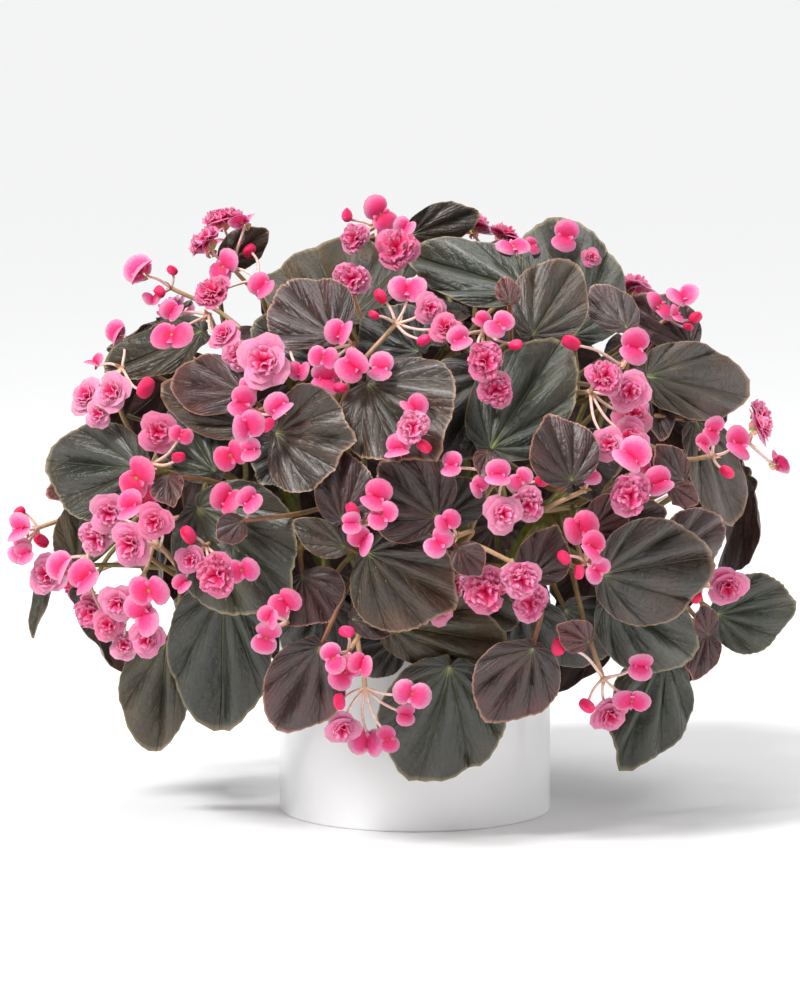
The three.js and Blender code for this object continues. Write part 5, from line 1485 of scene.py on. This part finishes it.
def blade_mesh(leaf, chance):
    """A leaf's points, faces and the numbers that its finish follows."""
    small = "small" if leaf["width"] < SMALL_LEAF else "large"
    count, rows = LEAF_GRIDS["hidden" if leaf["hidden"] else small]
    share = np.concatenate([np.linspace(0.06, 0.9, rows - 3) ** 0.85, [0.95, 0.982, 1]])[:, None]
    angle = np.linspace(SINUS - math.pi, math.pi - SINUS, count)[None, :]
    vein_angles = VEIN_ANGLES + chance.uniform(-0.06, 0.06, len(VEIN_ANGLES))
    vein = np.interp(angle * (1 + VEIN_BEND * share), vein_angles, VEIN_NUMBERS)
    between = np.abs(np.sin(math.pi * vein)) ** 0.9
    rough_rim = np.where(np.arange(count) % 2, 1, -1) * chance.uniform(0.05, 1.2, count)
    rough_rim = rough_rim + 0.9 * np.sin(3 * angle[0] + leaf["phase"])
    rough_rim = rough_rim + 0.7 * np.sin(7 * angle[0] - leaf["phase"])
    drawn = TOOTH * rough_rim + DRAWN_TIP * np.exp(-((angle[0] / DRAWN_WIDTH) ** 2))
    stretched = share * (1 + drawn * share**10)
    reach = share * rim_distance(leaf, angle)
    swell = np.minimum(1, share / 0.3) * (1 - 0.55 * share**6)
    ripple = 1 + QUILT_RIPPLE * np.sin(7 * share + 3 * angle + leaf["phase"])
    quilt = QUILT_DEPTH * 0.5 * reach * (between - 0.45) * swell * ripple
    quilt = quilt - MIDRIB_FOLD * reach * np.exp(-((angle / MIDRIB_WIDTH) ** 2)) * swell
    quilt = quilt * np.clip((math.pi - np.abs(angle)) / 0.5, 0, 1)
    quilt = quilt + RIM_WAVE * reach * share**3 * np.sin(2.5 * angle + 2 * leaf["phase"]) * np.cos(angle / 2)
    upper = blade_points(leaf, angle, stretched, quilt + BLADE_THICKNESS / 2).reshape(-1, 3)
    lower = blade_points(leaf, angle, stretched, quilt - BLADE_THICKNESS / 2).reshape(-1, 3)
    seat = leaf["upper"] * (BLADE_THICKNESS / 2)
    points = np.vstack([upper, lower, leaf["base"] + seat, leaf["base"] - seat])
    grid = np.arange(rows * count).reshape(rows, count)
    corners = grid[:-1, :-1], grid[1:, :-1], grid[1:, 1:], grid[:-1, 1:]
    quads = np.stack(corners, axis=-1).reshape(-1, 4)
    under = rows * count
    top, bottom = 2 * under, 2 * under + 1
    edge = np.concatenate([[top], grid[:, 0], grid[-1, 1:-1], grid[::-1, -1], [top]])
    below = np.where(edge == top, bottom, edge + under)
    faces = [*map(tuple, quads), *map(tuple, quads[:, ::-1] + under)]
    faces += [(top, grid[0, i], grid[0, i + 1]) for i in range(count - 1)]
    faces += [(bottom, under + grid[0, i + 1], under + grid[0, i]) for i in range(count - 1)]
    faces += [(edge[i], below[i], below[i + 1], edge[i + 1]) for i in range(len(edge) - 1)]
    ends = [[0.0], [0.0]]
    shares = np.concatenate([np.repeat(share[:, 0], count)] * 2 + ends)
    veins = np.concatenate([vein.ravel()] * 2 + ends)
    sides = np.concatenate([np.zeros(under), np.ones(under), [0, 1]])
    return points, faces, shares, veins, sides


def stepped(tree, value, limits, ends, way="LINEAR"):
    """Goes from one end to the other as the value goes from one limit to the other."""
    sockets = dict(enumerate((value, *limits, *ends)))
    return add_node(tree, "ShaderNodeMapRange", sockets, interpolation_type=way).outputs[0]


LEAF_BLOTCHES = (0.32, (0.46, 0.6, 0.5)), (0.68, (1.6, 1.32, 1.18))
LEAF_SPECKLES = (0.35, (0.55, 0.55, 0.52)), (0.7, (1.6, 1.6, 1.5))
LEAF_UNDERSIDE = (0.3, (0.04, 0.014, 0.012)), (0.7, (0.085, 0.028, 0.02))
RIM_WARMTH, PALE_VEIN, PALE_HEART = (1.5, 1.0, 0.75, 1), (0.15, 0.19, 0.055, 1), (0.24, 0.27, 0.07, 1)
UNDER_VEIN = (0.17, 0.08, 0.04, 1)
LEAF_RELIEF = 0.0013
leaf_finish, tree, shader = new_material(
    "waxy_begonia_leaf",
    Specular_IOR_Level=0.7,
    Sheen_Weight=0.03,
    Coat_Weight=0.22,
    Coat_Roughness=0.3,
)
share = attribute(tree, "share")
vein = attribute(tree, "vein")
past_vein = maths(tree, "FRACT", maths(tree, "ADD", vein, 0.5))
off_vein = maths(tree, "ABSOLUTE", maths(tree, "SUBTRACT", past_vein, 0.5))
vein_gap = maths(tree, "MULTIPLY", off_vein, share)
groove = stepped(tree, vein_gap, (0.0, 0.03), (1.0, 0.0), "SMOOTHSTEP")
blotch = noise(tree, 45, detail=4)
speckle = noise(tree, 900, detail=4, roughness=0.65)
tone = attribute(tree, "tone", "Color")
shade = mixed(tree, 1.0, tone, ramp(tree, blotch, *LEAF_BLOTCHES), "MULTIPLY")
shade = mixed(tree, 1.0, shade, ramp(tree, speckle, *LEAF_SPECKLES), "MULTIPLY")
towards_rim = stepped(tree, share, (0.55, 1.0), (0.0, 0.55), "SMOOTHSTEP")
shade = mixed(tree, towards_rim, shade, mixed(tree, 1.0, shade, RIM_WARMTH, "MULTIPLY"))
near_base = maths(tree, "POWER", maths(tree, "SUBTRACT", 1.0, share, clamp=True), 3.0)
vein_paleness = maths(tree, "MULTIPLY", groove, maths(tree, "MULTIPLY_ADD", near_base, 0.85, 0.1))
shade = mixed(tree, vein_paleness, shade, PALE_VEIN)
shade = mixed(tree, stepped(tree, share, (0.0, 0.1), (0.8, 0.0)), shade, PALE_HEART)
rim = stepped(tree, share, (0.965, 0.995), (0.0, 0.85))
shade = mixed(tree, rim, shade, attribute(tree, "rim_colour", "Color"))
under = ramp(tree, blotch, *LEAF_UNDERSIDE)
under = mixed(tree, maths(tree, "MULTIPLY", groove, 0.6), under, UNDER_VEIN)
feed(shader, "Base Color", mixed(tree, attribute(tree, "under"), shade, under))
feed(shader, "Roughness", maths(tree, "MULTIPLY_ADD", speckle, 0.24, 0.26))
crumple = noise(tree, 190, detail=3)
chevrons = maths(tree, "MULTIPLY_ADD", share, 17.0, maths(tree, "MULTIPLY", vein_gap, -20.0))
chevrons = maths(tree, "MULTIPLY_ADD", crumple, 2.0, chevrons)
side_veins = maths(tree, "POWER", maths(tree, "ABSOLUTE", maths(tree, "SINE", chevrons)), 0.5)
relief = maths(tree, "MULTIPLY_ADD", side_veins, 0.25, maths(tree, "MULTIPLY", groove, -0.6))
relief = maths(tree, "MULTIPLY_ADD", speckle, 0.32, relief)
relief = maths(tree, "MULTIPLY_ADD", crumple, 0.95, relief)
add_bump(tree, shader, relief, LEAF_RELIEF)

RIM_COLOURS = {"young": (0.5, 0.19, 0.15), "purple": (0.42, 0.2, 0.14), "bronze": (0.34, 0.19, 0.11)}
OTHER_RIM_COLOUR = (0.26, 0.2, 0.1)
leaf_shells = []
for number, stem in enumerate(stems, 1):
    points, faces, numbers, colours, rims = [], [], [[], [], []], [], []
    count = 0
    for leaf in stem["leaves"]:
        own_points, own_faces, *own_numbers = blade_mesh(leaf, chance)
        faces += [tuple(corner + count for corner in face) for face in own_faces]
        count += len(own_points)
        points.append(own_points)
        for kept, values in zip(numbers, own_numbers):
            kept.append(values)
        lightness = chance.uniform(0.8, 1.25)
        blade_colour = np.array(TONE_COLOURS[leaf["tone"]]) * lightness
        colours.append(np.tile([*blade_colour, 1], (len(own_points), 1)))
        edge_colour = RIM_COLOURS.get(leaf["tone"], OTHER_RIM_COLOUR)
        rims.append(np.tile([*edge_colour, 1], (len(own_points), 1)))
    points = np.clip(np.vstack(points), *plant_box)
    leaf_shells.append(BVHTree.FromPolygons(points.tolist(), faces))
    mesh = mesh_of(f"leaves_{number}", points, faces)
    for label, values in zip(("share", "vein", "under"), numbers):
        write_numbers(mesh, label, np.concatenate(values))
    for label, values in (("tone", colours), ("rim_colour", rims)):
        write_numbers(mesh, label, np.vstack(values).ravel(), "FLOAT_COLOR", "color")
    leaves_piece = show(f"leaves_{number}", mesh, leaf_finish)
    finished(leaves_piece, [f"leafy_stem_{number}"])

# The flower stalks: a fleshy peduncle carries each spray and ends in a small knuckle with cream bracts, from
# which white-pink pedicels fan out to the flowers. First each flower is pushed off a leaf that would cut it,
# and opens wider than its solid where the leaves leave room.
PEDICEL_STEPS, PEDUNCLE_STEPS, KNUCKLE_STEPS = 8, 8, 3
FLOWER_STALK_SIDES = 8
BRACT_LENGTH, BRACT_WIDTH, BRACT_THICKNESS = 6.5, 3.8, 0.3
BRACTS_ON_HUB = 3
FLOWER_GROWTH = {"double": 1.22, "single": 1.34, "bud": 1.1}
FLOWER_BACK = {"double": -0.28, "single": -0.2, "bud": -0.55}
FLOWER_REACH = {"double": (1.0, 0.65, 0.55), "single": (1.0, 0.9, 0.4), "bud": (0.65, 1.0, 0.75)}
FLOWER_PUSHES, FLOWER_GAP = 8, 0.4
GROWTH_SHARES = (1, 0.75, 0.5, 0.25, 0, -0.5, -1)
LOOKS_ROUND = 16


def leaf_within(flower, place, radius):
    """How deep the leaves reach into a flower, and the way out of the deepest one."""
    facing = flower["facing"]
    sideways = unit(np.cross(facing, Z_AXIS))
    aside, front, back = FLOWER_REACH[flower["kind"]]
    ways = [(turned(sideways, facing, i * 2 * math.pi / LOOKS_ROUND), aside) for i in range(LOOKS_ROUND)]
    ways += [(facing, front), (-facing, back)]
    ways += [(unit(ways[i][0] + facing * 0.6 * front), aside * 0.9) for i in range(0, LOOKS_ROUND, 2)]
    deepest, out = 0.0, facing
    for way, share in ways:
        reach = radius * share + FLOWER_GAP
        for shell in leaf_shells:
            gap = shell.ray_cast(place.tolist(), way.tolist(), reach)[3]
            if gap is not None and reach - gap > deepest:
                deepest, out = reach - gap, -way
    return deepest, out


for flower in (flower for spray in sprays for flower in spray["flowers"]):
    slim, place = flower["radius"], flower["centre"]
    for _ in range(FLOWER_PUSHES):
        depth, out = leaf_within(flower, place, slim)
        if depth == 0:
            break
        place = place + out * depth
    for share in GROWTH_SHARES:
        radius = slim * (1 + share * (FLOWER_GROWTH[flower["kind"]] - 1))
        kept = np.clip(place, plant_box[0] + radius, plant_box[1] - radius)
        if leaf_within(flower, kept, radius)[0] == 0:
            break
    flower["radius"], flower["centre"] = radius, kept


def flower_back(flower):
    """Where the pedicel ends in a flower."""
    return flower["centre"] + flower["facing"] * (FLOWER_BACK[flower["kind"]] * flower["radius"])


def flower_axes(flower):
    """Sideways, upwards and facing, turned as the flower is."""
    facing = flower["facing"]
    sideways = turned(unit(np.cross(facing, Z_AXIS)), facing, flower["turn"])
    return [sideways, np.cross(facing, sideways), facing]


threads, bract_seats, ovary_seats = [], [], []
for spray in sprays:
    hub, heading = spray["hub"], spray["heading"]
    threads.append(thread(spray["peduncle"], PEDUNCLE_STEPS, 1.5, 1.35, 0.1, 0.45))
    knuckle = [hub - heading * 1.6, hub, hub + heading * 1.4]
    threads.append(thread(knuckle, KNUCKLE_STEPS, 1.3, 1.7, 0.45, 0.5))
    beside = unit(np.cross(heading, Z_AXIS))
    for i in range(BRACTS_ON_HUB):
        outward = turned(beside, heading, i * 2.1 + hub[0])
        axes = axes_about(outward * 0.8 + heading * 0.7, heading)
        bract_seats.append((hub + outward * 0.8, axes, chance.uniform(0.7, 1.1), 0, chance.random()))
    for flower in spray["flowers"]:
        end = flower_back(flower)
        sag = np.linalg.norm(end - hub) * 0.07 * unit(np.cross(end - hub, flower["facing"]) + Z_AXIS * 1e-6)
        threads.append(thread([hub, (hub + end) / 2 + sag, end], PEDICEL_STEPS, 0.95, 0.75, 0.5, 1.0))
        if flower["kind"] != "bud":
            axes = flower_axes(flower)
            size = flower["radius"] / 9 * chance.uniform(0.8, 1.1)
            ovary_seats.append((end, axes, size, 0, chance.random()))

spray_nodes = [f"flower_spray_{number}" for number in range(1, len(sprays) + 1)]
PEDICEL_COLOURS = (
    (0.1, (0.36, 0.25, 0.1)),
    (0.45, (0.6, 0.38, 0.22)),
    (0.6, (0.82, 0.6, 0.5)),
    (1, (0.88, 0.56, 0.54)),
)
PEDICEL_MOTTLE = (0.3, (0.7, 0.6, 0.6)), (0.7, (1.1, 1.1, 1.1))
pedicel_finish, tree, shader = new_material(
    "fleshy_pedicel", Roughness=0.4, Subsurface_Weight=0.2, Subsurface_Scale=0.002, Coat_Weight=0.1
)
tinted = ramp(tree, attribute(tree, "tint"), *PEDICEL_COLOURS)
mottle = ramp(tree, noise(tree, 400), *PEDICEL_MOTTLE)
feed(shader, "Base Color", mixed(tree, 0.6, tinted, mottle, "MULTIPLY"))
flower_stalks = show("flower_stalks", threads_mesh("flower_stalks", threads))
grown(flower_stalks, stalk_tree, Sides=FLOWER_STALK_SIDES, Finish=pedicel_finish)
finished(flower_stalks, spray_nodes)

bract = petal_grid(BRACT_LENGTH, BRACT_WIDTH, *SMALL_GRID, shape=0.45, cup=0.3, curl=0.15)
bract_form = mesh_of("bract", lens_points(bract, BRACT_THICKNESS), lens_faces(*SMALL_GRID))
BRACT_COLOURS = (0, (0.62, 0.42, 0.24)), (1, (0.66, 0.25, 0.2))
bract_finish, tree, shader = new_material(
    "cream_bract", Roughness=0.5, Subsurface_Weight=0.2, Subsurface_Scale=0.002
)
feed(shader, "Base Color", ramp(tree, attribute(tree, "tint"), *BRACT_COLOURS))
add_bump(tree, shader, noise(tree, 700), 0.0002)
finished(on_seats("bracts", bract_seats, [bract_form], bract_finish), spray_nodes)

# The ovaries: behind each open flower sits a small capsule with three wings, grown in one with the flower. It
# is waxy and yellow-green, with pink wing edges.
OVARY_LENGTH, OVARY_WING, WING_THICKNESS = 3.4, 2.9, 0.5
WINGS = 3
WING_ROWS, WING_COLUMNS = 6, 4
OVARY_COLOURS = (0.3, (0.42, 0.42, 0.1)), (0.8, (0.75, 0.3, 0.25)), (1, (0.8, 0.12, 0.2))
wing_u = np.linspace(0, 1, WING_COLUMNS)[None, :]
wing_v = np.linspace(0, 1, WING_ROWS)[:, None]
reach = 0.35 + OVARY_WING * wing_u * np.sin(math.pi * wing_v * 0.96 + 0.06) ** 0.8
wing = np.stack([reach, 0 * reach, OVARY_LENGTH * (wing_v - 0.75) + 0 * reach], axis=-1)
wing_points, wing_faces = [], []
for i in range(WINGS):
    turn = 2 * math.pi * i / WINGS + 0.4
    c, s = math.cos(turn), math.sin(turn)
    spin = np.array([[c, s, 0], [-s, c, 0], [0, 0, 1]])
    wing_faces.append(lens_faces(WING_ROWS, WING_COLUMNS) + sum(map(len, wing_points)))
    wing_points.append(lens_points(wing, WING_THICKNESS) @ spin)
ovary_form = mesh_of("ovary", np.vstack(wing_points), np.vstack(wing_faces))
from_axis = np.linalg.norm(np.vstack(wing_points)[:, :2], axis=1) / OVARY_WING
write_numbers(ovary_form, "edge", from_axis)
ovary_finish, tree, shader = new_material(
    "winged_ovary", Roughness=0.45, Subsurface_Weight=0.2, Subsurface_Scale=0.002
)
feed(shader, "Base Color", ramp(tree, attribute(tree, "edge"), *OVARY_COLOURS))
add_bump(tree, shader, noise(tree, 700), 0.0002)
finished(on_seats("ovaries", ovary_seats, [ovary_form], ovary_finish), spray_nodes)

# The flowers: thin, satiny petals. A double one is a rosette of frilled petals before rounder guard petals, a
# single one has two domed lobes and two narrow petals round its yellow heart, and a bud is two shut petals.
FORMS_OF_DOUBLE, FORMS_OF_SINGLE, FORMS_OF_BUD = 4, 5, 2
PLAIN_ROSETTE, FRILLED_ROSETTE = (20, 0.62), (26, 0.88)
GUARD_RINGS = (
    ((1.38, 1.0, 1.12, 4), (1.1, 0.84, 0.98, 3)),
    ((1.42, 1.0, 1.25, 3), (1.15, 0.82, 1.0, 4)),
    ((1.42, 1.02, 1.3, 2),),
    ((1.38, 1.02, 1.25, 3),),
)
SINGLE_OPENINGS, SINGLE_FOLDS = (1.4, 1.15, 0.85, 1.05, 0.9), (0.0, 0.1, 0.2, 0.55, 0.7)
STAMENS, STAMEN_LENGTH, STAMEN_WIDTH = 7, 0.14, 0.065
BUD_ROWS, BUD_COLUMNS, BUD_WIDTH, BUD_DEPTH = 9, 14, 0.8, 0.52
BUD_FOOT, BUD_TIP = -0.6, 0.85
PETAL_THICKNESS = 0.03


def petal_set(petals):
    """Joins petals into one form. Each is its grid, its axes, its root, how pale it starts and its heart."""
    points, faces, edges, hearts = [], [], [], []
    count = 0
    for grid, axes, root, paleness, heart in petals:
        rows, columns = grid.shape[:2]
        placed = root + grid @ np.array(axes)
        points.append(lens_points(placed, PETAL_THICKNESS))
        faces += (lens_faces(rows, columns) + count).tolist()
        count += len(points[-1])
        rise = np.linspace(0, 1, rows)[:, None] + 0.22 * np.linspace(-1, 1, columns)[None, :] ** 2
        rise = paleness + (1 - paleness) * rise
        edges += [rise.ravel(), rise[1:-1, 1:-1].ravel()]
        hearts.append(np.full(len(points[-1]), heart))
    return np.vstack(points), faces, np.concatenate(edges), np.concatenate(hearts)


def form_mesh(name, points, faces, edges, hearts):
    """A form one metre in radius, for its seats to size."""
    mesh = mesh_of(name, points / (np.linalg.norm(points, axis=1).max() * MM), faces)
    for label, values in (("edge", edges), ("heart", hearts)):
        write_numbers(mesh, label, values)
    return mesh


def radial_axes(lean, turn, roll=0.0):
    """Axes of a petal that leans off the flower's axis: across, along, and towards its middle."""
    out = np.array([math.cos(turn), math.sin(turn), 0])
    across = np.array([-math.sin(turn), math.cos(turn), 0])
    along = out * math.sin(lean) + Z_AXIS * math.cos(lean)
    across = turned(across, along, roll)
    return [across, along, np.cross(across, along)]


def lobe(length, width, rows, columns, dome, chance):
    """A round petal, notched where it is held, that bulges away from its hollow side."""
    v = np.linspace(0.05, 1, rows)[:, None]
    turn = np.linspace(-2.3, 2.3, columns)[None, :]
    middle, half = 0.43, 0.57
    rim = middle * np.cos(turn) + np.sqrt(half**2 - (middle * np.sin(turn)) ** 2)
    x, y = v * rim * np.sin(turn) * width / 1.14, v * rim * np.cos(turn) * length
    from_middle = np.hypot(x / width, (y / length - middle)) / half
    ruffle = 0.042 * np.sin(4 * turn + chance.uniform(0, 6.3)) * v**3
    return np.stack([x, y, dome * (from_middle**2 - 1) + ruffle], axis=-1)


def double_form(number, chance):
    """A rosette of petals, shut in its middle and flat outside, before rings of round guard petals."""
    is_frilled = number >= 2
    count, reach = FRILLED_ROSETTE if is_frilled else PLAIN_ROSETTE
    petals = []
    for i in range(count):
        share = (i + 0.5) / count
        lean = math.acos(1 - share * (1 - math.cos(math.radians(92 if is_frilled else 70))))
        turn = i * GOLDEN_ANGLE + chance.uniform(-0.25, 0.25)
        length = 1 / math.hypot(math.sin(lean) / reach, math.cos(lean) / 0.62) * chance.uniform(0.88, 1.08)
        width = (0.4 + 0.5 * share) * reach * chance.uniform(0.9, 1.25)
        grid = petal_grid(
            length,
            width,
            *SMALL_GRID,
            shape=0.8,
            cup=0.34 * (1 - 0.4 * share),
            curl=0.14 - 0.3 * share,
            ruffle=0.16 if is_frilled else 0.06,
            waves=2,
            phase=chance.uniform(0, 6.3),
        )
        roll = chance.uniform(-0.6, 0.6) if is_frilled else chance.uniform(-0.2, 0.2)
        # The rosette's petals start deeper than the guard petals: partly their own colour, partly painted
        # shade in the rosette's middle.
        petals.append((grid, radial_axes(lean, turn, roll), np.array([0, 0, -0.14]), 0.1 * share, 0.0))
    for lean, length, width, turns in GUARD_RINGS[number]:
        for i in range(turns):
            grid = lobe(length, width, 4, 12, 0.16, chance)
            turn = 2 * math.pi * i / turns + lean * 5 + chance.uniform(-0.2, 0.2)
            root = np.array([0, 0, -0.2 - 0.08 * lean])
            axes = radial_axes(lean + chance.uniform(-0.06, 0.06), turn)
            petals.append((grid, axes, root, 0.5, 0.0))
    return form_mesh(f"double_{number}", *petal_set(petals))


def single_form(number, chance):
    """Two broad lobes, more or less shut like a shell, two narrow petals, and a small heart of stamens."""
    opening, fold = SINGLE_OPENINGS[number], SINGLE_FOLDS[number]
    petals = []
    for i in range(2):
        lean = opening + (fold if i else -fold) * 0.6
        grid = lobe(1.0, 1.32, 6, 17, 0.3, chance)
        turn = math.pi * i + chance.uniform(-0.1, 0.1)
        petals.append((grid, radial_axes(lean, turn), np.array([0, 0, -0.12 - 0.03 * i]), 0.03, 0.0))
    for i in range(2):
        grid = petal_grid(0.5, 0.32, *SMALL_GRID, shape=0.6, cup=0.3, curl=0.1)
        axes = radial_axes(1.1 * opening / 1.4, (i + 0.5) * math.pi)
        petals.append((grid, axes, np.array([0, 0, 0]), 0.25, 0.0))
    for i in range(STAMENS):
        turn, lean = i * GOLDEN_ANGLE, 0.2 + 0.6 * i / STAMENS
        grid = petal_grid(STAMEN_LENGTH, STAMEN_WIDTH, 4, 4, shape=0.8, cup=1.2)
        petals.append((grid, radial_axes(lean, turn), np.array([0, 0, -0.02]), 0.0, 1.0))
    return form_mesh(f"single_{number}", *petal_set(petals))


def bud_form(number):
    """Two petals shut face to face, with a seam all round and a blunt point."""
    rows, columns = BUD_ROWS, BUD_COLUMNS
    rise = np.linspace(0, 1, rows)[1:-1, None]
    turn = (np.arange(columns) * 2 * math.pi / columns)[None, :]
    waist = np.sin(math.pi * rise**0.62) ** (0.8 + 0.25 * number)
    seam = 1 - 0.3 * np.exp(-((np.cos(turn) / 0.2) ** 2))
    x, y = BUD_DEPTH * waist * np.cos(turn), BUD_WIDTH * waist * np.sin(turn) * seam
    z = BUD_FOOT + (BUD_TIP - BUD_FOOT) * rise + 0 * turn
    points = np.vstack([np.stack([x, y, z], axis=-1).reshape(-1, 3), (0, 0, BUD_FOOT), (0, 0, BUD_TIP)])
    grid = np.arange((rows - 2) * columns).reshape(rows - 2, columns)
    following = np.roll(grid, -1, axis=1)
    corners = grid[:-1], following[:-1], following[1:], grid[1:]
    faces = np.stack(corners, axis=-1).reshape(-1, 4).tolist()
    faces += [(len(points) - 2, b, a) for a, b in zip(grid[0], following[0])]
    faces += [(a, b, len(points) - 1) for a, b in zip(grid[-1], following[-1])]
    # The colour is paler on the broad domed faces and deeper towards the tip and in the seam's groove: the
    # paler faces are a painted highlight and the deeper groove is painted shade.
    edges = 0.55 - 0.35 * rise + 0.3 * np.abs(np.cos(turn)) - 0.3 * np.exp(-((np.cos(turn) / 0.3) ** 2))
    edges = np.concatenate([edges.ravel(), [0.6, 0.1]])
    return form_mesh(f"bud_{number}", points, faces, edges, np.zeros(len(points)))


# Deep at each petal's root and pale at its rim: partly the petals' own colour, partly painted shade in the
# hollows between petals and a painted highlight on the rims.
PETAL_COLOUR_AND_PAINTED_LIGHT = (
    (0.0, (0.84, 0.008, 0.075)),
    (0.3, (0.83, 0.025, 0.14)),
    (0.65, (0.85, 0.06, 0.22)),
    (1.0, (0.88, 0.25, 0.45)),
)
PETAL_TINTS = (0, (0.88, 0.5, 0.58)), (0.5, (0.95, 0.92, 0.93)), (1, (0.99, 1.3, 1.12))
YELLOW_HEART = (0.68, 0.5, 0.1, 1)
petal_finish, tree, shader = new_material(
    "satiny_petal", Roughness=0.52, Specular_IOR_Level=0.22, Subsurface_Weight=0.42, Subsurface_Scale=0.004
)
shader.inputs["Subsurface Radius"].default_value = (1.0, 0.35, 0.5)
edge = attribute(tree, "edge")
streak = noise(tree, 700, detail=3)
depth = maths(tree, "MULTIPLY_ADD", streak, 0.3, maths(tree, "SUBTRACT", edge, 0.15))
colour_and_painted_light = ramp(tree, depth, *PETAL_COLOUR_AND_PAINTED_LIGHT)
warmth = ramp(tree, attribute(tree, "tint"), *PETAL_TINTS)
coloured = mixed(tree, 1.0, colour_and_painted_light, warmth, "MULTIPLY")
feed(shader, "Base Color", mixed(tree, attribute(tree, "heart"), coloured, YELLOW_HEART))
add_bump(tree, shader, noise(tree, 1100, detail=3), 0.0003, 0.6)

FORMS = {
    "double": [double_form(i, chance) for i in range(FORMS_OF_DOUBLE)],
    "single": [single_form(i, chance) for i in range(FORMS_OF_SINGLE)],
    "bud": [bud_form(i) for i in range(FORMS_OF_BUD)],
}
TINTS = {"double": (0.2, 1.0), "single": (0.1, 0.95), "bud": (0.0, 0.5)}
for kind, name in (("double", "double_flowers"), ("single", "single_flowers"), ("bud", "flower_buds")):
    seats, nodes = [], []
    for spray, node in zip(sprays, spray_nodes):
        for flower in spray["flowers"]:
            if flower["kind"] != kind:
                continue
            form = int(chance.integers(len(FORMS[kind])))
            tint = chance.uniform(*TINTS[kind])
            seats.append((flower["centre"], flower_axes(flower), flower["radius"] * MM, form, tint))
            if node not in nodes:
                nodes.append(node)
    flowers = on_seats(name, seats, FORMS[kind], petal_finish)
    finished(flowers, nodes)

# The studio: a plain pale floor under a pale sky, large soft lights and a window light from the left. It
# isn't part of the object.
FLOOR_REACH = 30
FLOOR_WHITES = (0.3, (0.93, 0.93, 0.93)), (0.7, (0.94, 0.94, 0.94))
SKY_COLOUR, SKY_STRENGTH = (0.97, 0.98, 1.0, 1), 0.36
LIT_POINT = Vector((0, 0, 0.18))
WINDOW_POWER, WINDOW_SPREAD = 2.9, math.radians(14)
WINDOW_WAY = Vector((-0.62, -0.55, 0.9))
corners = [(-1, -1), (1, -1), (1, 1), (-1, 1)]
floor_mesh = bpy.data.meshes.new("studio_floor")
floor_mesh.from_pydata([(x * FLOOR_REACH, y * FLOOR_REACH, 0) for x, y in corners], [], [(0, 1, 2, 3)])
floor_finish, tree, shader = new_material("pale_studio_floor", Roughness=0.7)
feed(shader, "Base Color", ramp(tree, noise(tree, 40), *FLOOR_WHITES))
floor = show("studio_floor", floor_mesh, floor_finish)

world = bpy.data.worlds.new("studio")
world.use_nodes = True
sky = world.node_tree.nodes["Background"]
sky.inputs["Color"].default_value = SKY_COLOUR
sky.inputs["Strength"].default_value = SKY_STRENGTH
bpy.context.scene.world = world
bpy.context.scene.view_settings.view_transform = "Standard"
# Softboxes: name, place in metres, width, height, power in watts
for name, place, width, height, power in (
    ("fill_softbox", (1.6, -1.2, 0.8), 0.6, 1.2, 3),
    ("edge_softbox", (1.5, 0.35, 0.5), 0.5, 1.0, 5),
    ("front_softbox", (-0.7, -1.2, 1.6), 0.8, 0.8, 10),
    ("top_softbox", (0.2, 0.3, 1.7), 1.4, 1.0, 14),
):
    light = bpy.data.lights.new(name, "AREA")
    light.shape = "RECTANGLE"
    light.size, light.size_y, light.energy = width, height, power
    lamp = bpy.data.objects.new(name, light)
    lamp.location = place
    lamp.rotation_euler = (LIT_POINT - lamp.location).to_track_quat("-Z", "Y").to_euler()
    bpy.context.scene.collection.objects.link(lamp)

sun = bpy.data.lights.new("window_light", "SUN")
sun.energy, sun.angle = WINDOW_POWER, WINDOW_SPREAD
window = bpy.data.objects.new("window_light", sun)
window.rotation_euler = WINDOW_WAY.to_track_quat("Z", "Y").to_euler()
bpy.context.scene.collection.objects.link(window)
